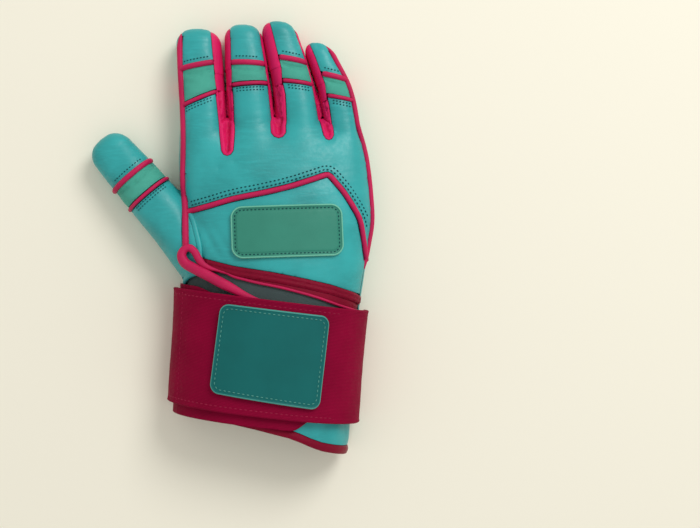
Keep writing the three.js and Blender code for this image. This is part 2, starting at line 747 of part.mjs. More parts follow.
place('wrist_band', without(
  layer(bandInside, bandOutside).intersect(bandArea),
  layer(bandOutside - PAD_THICKNESS - GAP, bandOutside + GAP).intersect(padBox(GAP)),
  bandGap,
  ground,
), finish.elastic);
place('loop_pad', layer(bandOutside - PAD_THICKNESS, bandOutside).intersect(padBox(0)), finish.pad);
place('strap_root', without(
  layer(strapInside, strapOutside).intersect(strapArea(HINGE_OFFSET + GAP / 2, OVERRUN)),
  prism(everywhere, -OVERRUN, STRAP_SIDE_LEVEL),
), finish.elastic);
place('wrist_strap', without(
  layer(strapInside, strapOutside).intersect(strapArea(-OVERRUN, HINGE_OFFSET - GAP / 2)),
  prism(everywhere, -OVERRUN, STRAP_END_LEVEL),
  layer(strapInside - GAP, strapInside + PAD_THICKNESS + GAP).intersect(padBox(GAP)),
), finish.elastic);
place('hook_pad', layer(strapInside, strapInside + PAD_THICKNESS).intersect(padBox(0)), finish.pad);

// A rectangle with round corners in its own plan frame
function plate(length, width, corner, toPlan) {
  const turns = [[1, -1, -0.25], [1, 1, 0], [-1, 1, 0.25], [-1, -1, 0.5]];
  return turns.flatMap(([x, y, start]) => levels(0, 0.25, 4).map((turn) => {
    const angle = 2 * Math.PI * (start + turn);
    return toPlan(
      x * (length / 2 - corner) + corner * Math.cos(angle),
      y * (width / 2 - corner) + corner * Math.sin(angle),
    );
  }));
}

place('strap_patch', layer(strapOutside + GAP, strapOutside + GAP + STRAP_PATCH_THICKNESS).intersect(
  above(plate(STRAP_PATCH_LENGTH, STRAP_PATCH_WIDTH, STRAP_PATCH_CORNER,
    (x, y) => strapSpot(x + STRAP_PATCH_OFFSET, y + STRAP_PATCH_RAISE)), SEAM_LEVEL),
), finish.rubber);

// The back patch keeps clear of the sides of the palm, the chevron and the wrist edge.
function lineAt(plan, x) {
  const next = plan.findIndex((point) => point[0] >= x);
  const [fromX, fromY] = plan[next - 1];
  const [toX, toY] = plan[next];
  return mix(fromY, toY, (x - fromX) / (toX - fromX));
}

const patchLength = PALM_WIDTH - 2 * BACK_PATCH_SIDE_CLEAR;
const patchLeft = BACK_PATCH_X - patchLength / 2;
const patchTop = lineAt(chevron, patchLeft) - BACK_PATCH_TOP_CLEAR;
const patchBottom = lineAt(wristLine, patchLeft) + BACK_PATCH_BOTTOM_CLEAR;
const patchY = (patchTop + patchBottom) / 2;
const patchLean = THREE.MathUtils.degToRad(BACK_PATCH_LEAN);
place('back_patch', layer(GAP, GAP + BACK_PATCH_THICKNESS).intersect(
  above(plate(patchLength, patchTop - patchBottom, BACK_PATCH_CORNER, (x, y) => [
    BACK_PATCH_X + x * Math.cos(patchLean) - y * Math.sin(patchLean),
    patchY + x * Math.sin(patchLean) + y * Math.cos(patchLean),
  ]), SEAM_LEVEL),
), finish.badge);
const rollRise = BINDING_RISE + GAP + ROLL_RADIUS;
place('slit_roll_binding', without(
  seam(planOf(rollShares), ROLL_RADIUS, ROLL_STEPS, rollRise),
  strapArea(-OVERRUN, OVERRUN, GAP),
  sideRoom,
), finish.lycra);

// Thumb back leather, outside the hand's own wall
const thumbOutside = without(outer.get(thumb), handTube.solid(BINDING_RISE + GAP));
place('thumb_back_panel', without(
  thumbOutside.intersect(upperHalf),
  hollow,
  beyondLower(thumb, -crossRoom),
  sideRoom,
), finish.leather);

// Palm leather from the wrist to the folds, wrapping up to the side seams
const lowerCut = above(everywhere, SEAM_LEVEL - GAP / 2);
const thumbBackRoom = without(outer.get(thumb), handOuter).intersect(lowerCut);
place('palm_panel', without(
  skin,
  backRoom,
  sideRoom,
  ...webRooms,
  below(cuffLine, GAP / 2),
  thumbBackRoom,
), finish.leather);

// Flex inserts, folds and tips of the digits
digits.forEach((digit) => {
  const isThumb = digit === thumb;
  const skinOf = without(outer.get(digit), hollow, ground);
  const strip = isThumb ? upperHalf : pillar(stripZone(digit, 0).outline);
  const stripRoom = isThumb ? lowerCut : pillar(stripZone(digit, GAP).outline);
  const backOf = isThumb ? upperHalf : back;
  const backOfRoom = isThumb ? stripRoom : backRoom;
  const lower = crossSeam(digit, digit.lowerLeft, digit.lowerRight, CROSS_RADIUS);
  const upper = crossSeam(digit, digit.upperLeft, digit.upperRight, CROSS_RADIUS);
  const topStrip = strip.intersect(backOf);
  place(`${digit.name}_lower_piping`, without(lower.intersect(topStrip), sideRoom), finish.lycra);
  place(`${digit.name}_upper_piping`, without(upper.intersect(topStrip), sideRoom), finish.lycra);
  const backStrip = without(skinOf.intersect(topStrip), sideRoom);
  place(`${digit.name}_flex_insert`, without(
    backStrip.intersect(beyondLower(digit, crossRoom)),
    beyondUpper(digit, -crossRoom),
  ), finish.flex);
  place(`${digit.name}_tip_back`, backStrip.intersect(beyondUpper(digit, crossRoom)), finish.leather);
  const backStripRoom = stripRoom.intersect(backOfRoom);
  place(`${digit.name}_fold`, without(
    skinOf.intersect(beyond(digit, -BASE_CLEAR + GAP, -BASE_CLEAR + GAP)),
    beyond(digit, TIP_CLEAR - GAP, TIP_CLEAR - GAP),
    backStripRoom,
    sideRoom,
    prism(everywhere, -OVERRUN, FOLD_LIFT),
  ), isThumb ? finish.leather : finish.lycra);
  const tip = tipOf(digit, skinOf);
  place(`${digit.name}_tip_front`, without(
    tip.intersect(isThumb ? pillar(everywhere) : strip),
    backStripRoom,
    sideRoom,
  ), finish.leather);
  if (!isThumb) {
    const sides = without(tip, stripRoom);
    const wall = (sign) => without(sides, pillar([
      spot(digit, 0, -OVERRUN), spot(digit, 0, OVERRUN),
      spot(digit, -sign * OVERRUN, OVERRUN), spot(digit, -sign * OVERRUN, -OVERRUN),
    ]));
    if (digit !== fingers[0]) {
      place(`${digit.name}_tip_left_wall`, wall(-1), finish.lycra);
    }
    if (digit !== fingers[3]) {
      place(`${digit.name}_tip_right_wall`, wall(1), finish.lycra);
    }
  }
});
const indexTipSide = tipOf(fingers[0], indexSide);
const littleTipSide = tipOf(fingers[3], littleSide);
place('index_tip_side_piping', indexTipSide, finish.lycra);
place('little_tip_side_piping', littleTipSide, finish.lycra);

export default group;
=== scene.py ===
"""Looks of a right-hand batting glove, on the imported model's frame. The form's lengths are in millimetres."""

from __future__ import annotations

import json
import logging
import math
from dataclasses import dataclass, field
from enum import Enum
from typing import Callable, Iterable, Sequence

import bmesh
import bpy
import numpy as np
from mathutils import Matrix, Vector
from mathutils.kdtree import KDTree

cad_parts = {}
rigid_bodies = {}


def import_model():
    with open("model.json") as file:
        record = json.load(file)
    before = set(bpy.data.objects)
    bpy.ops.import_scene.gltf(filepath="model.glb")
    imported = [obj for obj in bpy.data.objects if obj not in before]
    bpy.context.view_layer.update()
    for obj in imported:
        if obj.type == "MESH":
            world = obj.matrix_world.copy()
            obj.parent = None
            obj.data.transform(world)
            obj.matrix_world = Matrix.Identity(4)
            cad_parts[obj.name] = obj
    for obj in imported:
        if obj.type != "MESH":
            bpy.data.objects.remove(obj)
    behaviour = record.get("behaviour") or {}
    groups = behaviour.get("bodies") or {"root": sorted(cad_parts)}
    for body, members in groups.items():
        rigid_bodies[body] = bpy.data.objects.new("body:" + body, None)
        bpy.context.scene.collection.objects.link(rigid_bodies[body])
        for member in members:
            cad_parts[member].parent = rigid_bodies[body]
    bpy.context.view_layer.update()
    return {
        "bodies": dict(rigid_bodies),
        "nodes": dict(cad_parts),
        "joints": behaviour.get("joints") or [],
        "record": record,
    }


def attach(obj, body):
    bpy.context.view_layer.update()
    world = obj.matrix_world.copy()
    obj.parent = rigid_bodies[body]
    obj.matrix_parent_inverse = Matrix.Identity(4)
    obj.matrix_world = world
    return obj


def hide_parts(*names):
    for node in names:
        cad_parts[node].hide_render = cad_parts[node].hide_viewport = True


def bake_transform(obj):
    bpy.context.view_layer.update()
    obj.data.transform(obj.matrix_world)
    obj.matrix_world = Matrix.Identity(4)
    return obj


logging.basicConfig(level=logging.INFO, format="%(message)s")
log = logging.getLogger("glove")

Points = np.ndarray
Shade = tuple[float, float, float]
Spots = tuple[tuple[float, float], ...]
Three = tuple[float, float, float]
MM = 0.001
SEAM_LEVEL = 9.5
CROWN_POWER = 2.3
SOLE_POWER = 4.5
HALF_PALM = 50.5
HALF_HEIGHT = 40
WRIST_END = -120
HAND_RUN = 190
ROW_LIFT = 3.4
ROOT = 40.0
TIP_ROUND = 9.0
PALM_SINK = 0.6
WEB_FADE = 7.0
SKIN = 0.15
UPPER = 15.0
ROOTED = "upper_back_panel"
BASE_CLEAR = math.hypot(2.8, 5) + 0.9
FAR = 1000.0
HAND_SIDES = 32
DIGIT_SIDES = 16
THUMB_ROOT = (-33, -9.5)
THUMB_LEAN = 41
THUMB_FOLD = 58.0
THUMB_TIP = 90
THUMB_ROUND = 10
THUMB_HALF = (16, 12.6, 11.4)
THUMB_TOP = (29, 22, 18)
THUMB_STRIP = 0.93
THUMB_CROSS = 6.4
TINY = 1e-6

# Form


def mix(a: float, b: float, share: float) -> float:
    """The value a share of the way from a to b."""
    return a + (b - a) * share


def ramp(x: np.ndarray, start: float, run: float) -> np.ndarray:
    """A soft rise from 0 at the start to 1 after the run."""
    share = np.clip((x - start) / run, 0, 1)
    return share * share * (3 - 2 * share)


def read(x: np.ndarray, xs: np.ndarray, rows: np.ndarray) -> np.ndarray:
    """Rows of a table read between its stations."""
    return np.column_stack([np.interp(x, xs, rows[:, k]) for k in range(rows.shape[1])])


def run_length(path: Points) -> np.ndarray:
    """Distance of each place along its path."""
    return np.concatenate([[0], np.cumsum(np.linalg.norm(np.diff(path, axis=0), axis=1))])


def unit(vectors: np.ndarray) -> np.ndarray:
    """Rows brought to length one."""
    return vectors / np.maximum(np.linalg.norm(vectors, axis=1, keepdims=True), TINY)


@dataclass(frozen=True)
class RoundedEnd:
    """The closed end of a finger: the section shrinks over the last stretch.

    Attributes:
        tip: Place of the end along the tube.
        length: Length of the rounded stretch.
        least: Share of the section that the flat of the end keeps in the plain solid.
        power: How square the plain end is.
        dome: How square the smooth end is.
        overrun: How much further the smooth end would run to a point.
        shares: Stations of the plain end.
    """

    tip: float
    length: float
    least: float = 0.34
    power: float = 2.6
    dome: float = 2.15
    overrun: float = 1.012
    shares: tuple[float, ...] = (0.0, 0.45, 0.75, 0.92, 1.0)


def eased(x: np.ndarray, xs: np.ndarray, ys: np.ndarray) -> np.ndarray:
    """Values of a smooth curve through given rows.

    Args:
        x: Places to read.
        xs: Places of the rows, rising.
        ys: One row of values for each place.

    Returns:
        One row of values for each place read.
    """
    gap = np.diff(xs)
    slope = np.diff(ys, axis=0) / gap[:, None]
    inner = (slope[:-1] * gap[1:, None] + slope[1:] * gap[:-1, None]) / (gap[:-1] + gap[1:])[:, None]
    lean = np.vstack([slope[:1], inner, slope[-1:]])
    i = np.clip(np.searchsorted(xs, x) - 1, 0, len(xs) - 2)
    s = np.clip((x - xs[i]) / gap[i], 0, 1)[:, None]
    g = gap[i][:, None]
    start = ys[i] * (1 + 2 * s) * (1 - s) ** 2 + lean[i] * g * s * (1 - s) ** 2
    return start + ys[i + 1] * s * s * (3 - 2 * s) + lean[i + 1] * g * s * s * (s - 1)


class Tube:
    """A tube of level sections along a line in the plan, as the model's solids are cut from.

    Attributes:
        least: Least half width or depth that a section is read with.
        slack: How far past its ends the plain tube still counts.
        open_run: Where the smooth distance before the open end stops growing faster.
        open_rise: How much it grows with the distance before that end.
    """

    least = 0.05
    slack = 0.02
    open_run = 20
    open_rise = 0.02

    def __init__(self, origin: tuple[float, float], lean: float, sides: int, rows: Sequence[Sequence[float]],
                 end: RoundedEnd | None = None, drift: float = 0.0) -> None:
        """Set up both the plain rows and their smooth table.

        Args:
            origin: Plan place of the tube's zero.
            lean: Turn of the tube's line from +Y, in degrees.
            sides: Sides of the plain solid's section.
            rows: Place along, centre, half width, crown and sole of each station.
            end: The rounded end, if the tube has one.
            drift: Sideways step of the centre for each step along the end.
        """
        angle = math.radians(lean)
        self.origin = np.array(origin, float)
        self.along = np.array([-math.sin(angle), math.cos(angle)])
        self.across = np.array([math.cos(angle), math.sin(angle)])
        self.sides = sides
        plain = np.array(rows, float)
        fine = np.linspace(plain[0, 0], plain[-1, 0], 240)
        smooth = np.column_stack([fine, eased(fine, plain[:, 0], plain[:, 1:])])
        if end is not None:
            last = plain[-1]
            held = [self._held(last, end, drift, s, end.least, end.power) for s in end.shares]
            plain = np.vstack([plain[:-1], held])
            closing = np.linspace(0.0, 1.0, 60)[1:] / end.overrun
            smooth = np.vstack([smooth, [self._held(last, end, drift, s, 0.0, end.dome) for s in closing]])
        self.plain, self.smooth = plain, smooth
        self.first = float(plain[0, 0])
        self.last = float(plain[-1, 0])

    @staticmethod
    def _held(row: np.ndarray, end: RoundedEnd, drift: float, share: float, least: float,
              power: float) -> list[float]:
        """One station of the rounded end.

        Args:
            row: The station where the end starts.
            end: The rounded end.
            drift: How far the tube's middle moves across for each millimetre along.
            share: Share of the way to the tip.
            least: Least share of the size that is left.
            power: Power of the end's curve.

        Returns:
            Place along the tube, centre, half width, crown and sole.
        """
        held = max(max(1 - share**power, 0.0) ** (1 / power), least)
        return [end.tip - end.length * (1 - share), row[1] + drift * end.length * share, row[2] * held,
                mix(SEAM_LEVEL, row[3], held), mix(SEAM_LEVEL, row[4], held)]

    def local(self, points: Points) -> tuple[np.ndarray, np.ndarray]:
        """Distances across and along the tube's line."""
        flat = points[:, :2] - self.origin
        return flat @ self.across, flat @ self.along

    def world(self, across: np.ndarray, along: np.ndarray) -> np.ndarray:
        """Plan places of distances across and along the tube's line."""
        return self.origin + np.outer(across, self.across) + np.outer(along, self.along)

    def station(self, along: np.ndarray, plain: bool = False) -> np.ndarray:
        """Centre, half width, crown and sole at places along the tube, one row each."""
        table = self.plain if plain else self.smooth
        return read(along, table[:, 0], table[:, 1:])

    def _facet(self, x: np.ndarray, z: np.ndarray, power: np.ndarray) -> np.ndarray:
        """Size of the flat-sided section through each place, by its first quarter.

        Args:
            x: Distances across the section.
            z: Distances up it.
            power: Power of the section's curve.

        Returns:
            The size at each.
        """
        step = 2 * math.pi / self.sides
        turn = np.arctan2(z ** (power / 2), x ** (power / 2))
        k = np.clip(np.floor(turn / step), 0, self.sides // 4 - 1)
        a, b = k * step, (k + 1) * step
        ax, az = np.cos(a) ** (2 / power), np.sin(a) ** (2 / power)
        bx, bz = np.clip(np.cos(b), 0, 1) ** (2 / power), np.sin(b) ** (2 / power)
        return (x * (bz - az) - z * (bx - ax)) / (ax * (bz - az) - az * (bx - ax))

    def level(self, points: Points, plain: bool = False) -> np.ndarray:
        """Distance of each place from the tube's wall, outwards, seen from the middle of its section.

        Args:
            points: Places in the frame.
            plain: True for the flat-sided wall of the plain solid.

        Returns:
            One distance for each place, below zero inside.
        """
        u, t = self.local(points)
        rows = self.station(t, plain)
        du = np.abs(u - rows[:, 0])
        dz = points[:, 2] - SEAM_LEVEL
        up = dz > 0
        depth = np.maximum(np.where(up, rows[:, 2] - SEAM_LEVEL, SEAM_LEVEL - rows[:, 3]), self.least)
        power = np.where(up, CROWN_POWER, SOLE_POWER)
        x = du / np.maximum(rows[:, 1], self.least)
        z = np.abs(dz) / depth
        size = self._facet(x, z, power) if plain else (x**power + z**power) ** (1 / power)
        wall = np.hypot(du, dz) * (1 - 1 / np.maximum(size, 1e-5))
        before, after = self.first - t, t - self.last
        if plain:
            return np.where((before > self.slack) | (after > self.slack), FAR, wall)
        before = np.maximum(before, 0)
        return wall + before * np.minimum(before, self.open_run) * self.open_rise + np.maximum(after, 0)

    def section(self, turn: np.ndarray, along: np.ndarray, offset: np.ndarray) -> Points:
        """Places on the tube's smooth wall.

        Args:
            turn: Angle round the section from the little finger's side, in radians.
            along: Place along the tube.
            offset: Distance out from the wall.

        Returns:
            The places in the frame.
        """
        rows = self.station(along)
        cos, sin = np.cos(turn), np.sin(turn)
        power = np.where(sin >= 0, CROWN_POWER, SOLE_POWER)
        x = np.sign(cos) * np.abs(cos) ** (2 / power)
        z = np.sign(sin) * np.abs(sin) ** (2 / power)
        depth = np.where(sin >= 0, rows[:, 2] - SEAM_LEVEL, SEAM_LEVEL - rows[:, 3])
        flat = self.world(rows[:, 0] + (rows[:, 1] + offset) * x, along)
        return np.column_stack([flat, SEAM_LEVEL + (depth + offset) * z])


@dataclass(frozen=True)
class DigitSize:
    """Sizes of one finger, from root to fold to tip.

    Attributes:
        centre: Places across the glove.
        half: Half widths.
        top: Heights of the crown.
        fold: Place of the fold along the glove.
        tip: Place of the tip along the glove.
        lower: Places of the lower piping's two ends along the finger, from the fold, in the plain model.
        upper: Places of the upper piping's two ends, in the same way.
        seen_lower: Places of the lower piping's ends on the curled glove.
        seen_upper: Places of the upper piping's ends on the curled glove.
        left: Left edge of the back strip as shares of the half width.
        right: Right edge of the back strip as shares of the half width.
    """

    name: str
    centre: tuple[float, float, float]
    half: tuple[float, float, float]
    top: tuple[float, float, float]
    fold: float
    tip: float
    lower: tuple[float, float]
    upper: tuple[float, float]
    seen_lower: tuple[float, float]
    seen_upper: tuple[float, float]
    left: tuple[float, float, float]
    right: tuple[float, float, float]


FINGERS = (
    DigitSize("index", (-37.2, -39.3, -41.2), (12.4, 12.0, 11.6), (25, 21, 17.5), 89.6, 117.7,
              (-13.8, -5.6), (6.0, 9.4), (-13.8, -5.6), (6.0, 9.4), (-1.2, -1.2, -1.2), (0.86, 0.62, 0.58)),
    DigitSize("middle", (-11.5, -14.9, -17.4), (13.1, 11.4, 10.1), (26, 21.5, 17.5), 93.7, 120.3,
              (-6.2, -6.4), (5.9, 4.8), (-6.2, -6.6), (6.2, 3.6), (-0.88, -0.70, -0.68), (0.92, 0.86, 0.84)),
    DigitSize("ring", (14.6, 7.9, 0.7), (12.2, 10.7, 9.4), (25, 20.5, 17), 95.4, 122.4,
              (-5.4, -8.6), (9.2, 4.8), (-2.8, -11.0), (10.8, 1.0), (-0.86, -0.42, -0.42),
              (0.92, 0.90, 0.86)),
    DigitSize("little", (37.4, 31.0, 21.2), (10.2, 8.7, 7.6), (22, 18, 15.5), 88.2, 111.3,
              (-5.4, -8.8), (8.6, 4.8), (-2.4, -13.6), (11.2, -1.4), (-0.80, -0.52, -0.42), (1.2, 1.2, 1.2)),
)
HAND_ROWS = (
    (0.000, -0.160, 0.905, 1.000, 1.00), (0.160, -0.125, 0.910, 0.990, 1.00),
    (0.340, -0.075, 0.915, 0.965, 1.00), (0.480, -0.035, 0.925, 0.925, 1.00),
    (0.580, 0.000, 0.950, 0.885, 0.20), (0.640, 0.018, 0.975, 0.855, 0.00),
    (0.710, 0.035, 1.000, 0.825, 0.00), (0.780, 0.026, 1.000, 0.780, 0.00),
    (0.850, 0.006, 0.992, 0.725, 0.00), (0.910, -0.014, 0.970, 0.655, 0.00),
    (0.955, -0.030, 0.920, 0.560, 0.00), (0.985, -0.036, 0.845, 0.450, 0.00),
    (1.000, -0.036, 0.740, 0.345, 0.00),
)


@dataclass(frozen=True)
class Web:
    """How far the seams beside one finger wall lie from the plain model's lines.

    Attributes:
        left: Which finger is on its left.
        rows: Place along the glove, then how far the left and right seams move across.
        foot: Place across and along the glove of its lower end, and how far that end moves down.
    """

    left: int
    rows: tuple[tuple[float, float, float], ...]
    foot: tuple[float, float, float] = (0.0, 0.0, 0.0)


WEBS = (
    Web(0, ((44, 0, 0), (50, -0.5, 0.7), (56, -0.7, 1.1), (66, -0.9, 1.4), (76, -0.8, 1.1), (81, -0.7, 0.9),
            (87, 0, 0)), (-25.0, 51.0, 1.2)),
    Web(1, ((48, 0, 0), (54, -0.4, 0.3), (60, -1.2, 0.6), (66, -1.5, 0.8), (76, -1.0, 1.2), (82, -0.8, 1.2),
            (88, 0, 0))),
    Web(2, ((48, 0, 0), (57, 1.5, 1.4), (61, 1.4, 1.5), (66, 0.8, 1.2), (76, 0.6, 0.8), (80, 0.4, 0.3),
            (86, 0, 0))),
)


@dataclass
class Digit:
    """One finger or the thumb, with the seams across it.

    Attributes:
        name: Name of the digit.
        tube: Its tube.
        fold: Plan place of its fold.
        along: Direction from its fold to its tip.
        half: Half width at the fold.
        lower: Places of the lower piping's two ends along the digit, from the fold, in the plain model.
        upper: Places of the upper piping's two ends, in the same way.
        size: The sizes of a finger.
    """

    name: str
    tube: Tube
    fold: np.ndarray
    along: np.ndarray
    half: float
    lower: tuple[float, float]
    upper: tuple[float, float]
    size: DigitSize | None = None

    @property
    def across(self) -> np.ndarray:
        """Direction across the digit, to the little finger's side."""
        return np.array([self.along[1], -self.along[0]])

    def ends(self, low: bool) -> tuple[float, float]:
        """Places of the lower or upper piping's two ends along the curled digit.

        Args:
            low: True for the lower cross piping.

        Returns:
            Distances of its left and right ends from the fold.
        """
        if self.size is None:
            return self.lower if low else self.upper
        return self.size.seen_lower if low else self.size.seen_upper

    @classmethod
    def finger(cls, size: DigitSize) -> "Digit":
        """A finger from its sizes.

        Args:
            size: Its sizes.

        Returns:
            The finger.
        """
        (rx, fx, tx), (rh, fh, th), (rt, ft, tt) = size.centre, size.half, size.top
        drift = (tx - fx) / (size.tip - size.fold)
        start = size.tip - TIP_ROUND
        rows = [
            (ROOT, rx, rh, rt, -PALM_SINK),
            (mix(ROOT, size.fold, 0.5), mix(rx, fx, 0.3), mix(rh, fh, 0.45), mix(rt, ft, 0.6), -PALM_SINK),
            (size.fold, fx, fh, ft, -PALM_SINK),
            (start, tx - drift * TIP_ROUND, th, tt, -PALM_SINK),
        ]
        tube = Tube((0, 0), 0, DIGIT_SIDES, rows, RoundedEnd(size.tip, TIP_ROUND), drift)
        run = np.array([tx - fx, size.tip - size.fold])
        return cls(size.name, tube, np.array([fx, size.fold]), run / np.linalg.norm(run), fh,
                   size.lower, size.upper, size)

    @classmethod
    def thumb(cls) -> "Digit":
        """The thumb, which leans away from the palm.

        Returns:
            The thumb.
        """
        (root, half, tip), (root_top, top, tip_top) = THUMB_HALF, THUMB_TOP
        rows = [
            (0, 0, root, root_top, -PALM_SINK),
            (THUMB_FOLD / 2, 0, mix(root, half, 0.7), mix(root_top, top, 0.6), -PALM_SINK),
            (THUMB_FOLD, 0, half, top, -PALM_SINK),
            (THUMB_TIP - THUMB_ROUND, 0, tip, tip_top, -PALM_SINK),
        ]
        tube = Tube(THUMB_ROOT, THUMB_LEAN, DIGIT_SIDES, rows, RoundedEnd(THUMB_TIP, THUMB_ROUND))
        fold = tube.world(np.array([0.0]), np.array([THUMB_FOLD]))[0]
        ends = [(cross, cross) for cross in (-THUMB_CROSS, THUMB_CROSS)]
        return cls("thumb", tube, fold, tube.along, half, *ends)

    def spot(self, across: float, along: float) -> np.ndarray:
        """Plan place by distances across and along the digit from its fold."""
        return self.fold + across * self.across + along * self.along

    def distance(self, points: Points) -> np.ndarray:
        """Distance along the digit from its fold."""
        return (points[:, :2] - self.fold) @ self.along

    def edges(self, y: np.ndarray) -> tuple[np.ndarray, np.ndarray]:
        """Left and right edge of the back strip at places along the glove, as shares of the half width.

        Args:
            y: Places along the glove.

        Returns:
            The left and the right edge.
        """
        size = self.size
        if size is None:
            return np.full(len(y), -THUMB_STRIP), np.full(len(y), THUMB_STRIP)
        rows = (ROOT, size.fold, size.tip - TIP_ROUND)
        return np.interp(y, rows, size.left), np.interp(y, rows, size.right)

    def strip_share(self, flat: np.ndarray) -> np.ndarray:
        """Places across the digit as shares of its half width.

        Args:
            flat: Plan places.

        Returns:
            The shares.
        """
        u, t = self.tube.local(flat)
        rows = self.tube.station(t)
        return (u - rows[:, 0]) / rows[:, 1]

    def curled(self, points: Points) -> Points:
        """Carry the back strip's seams from the plain model's lines to the lines of the curled glove.

        Args:
            points: Places in the frame.

        Returns:
            The places, moved along the strip.
        """
        size = self.size
        if size is None:
            return points
        along = self.distance(points)
        across = (points[:, :2] - self.fold) @ self.across
        share = np.clip((across / self.half + 1) / 2, 0, 1)
        low, high = mix(*self.lower, share), mix(*self.upper, share)
        low_step, high_step = mix(*size.seen_lower, share) - low, mix(*size.seen_upper, share) - high
        between = np.clip((along - low) / (high - low), 0, 1)
        low_fade, high_fade, margin = 15, 12, 3
        fade = (1 - ramp(low, along, low_fade)) * (1 - ramp(along, high, high_fade))
        step = mix(low_step, high_step, between) * fade * (np.abs(across) < self.half + margin)
        y = points[:, 1]
        new = y + step * self.along[1]
        old_left, old_right = self.edges(y)
        left, right = self.edges(new)
        part = (self.strip_share(points) - old_left) / (old_right - old_left)
        row = self.tube.station(new)
        moved = points.copy()
        still = np.abs(step) < TINY
        moved[:, 0] = np.where(still, points[:, 0], row[:, 0] + (left + part * (right - left)) * row[:, 1])
        moved[:, 1] = np.where(still, y, new)
        return moved


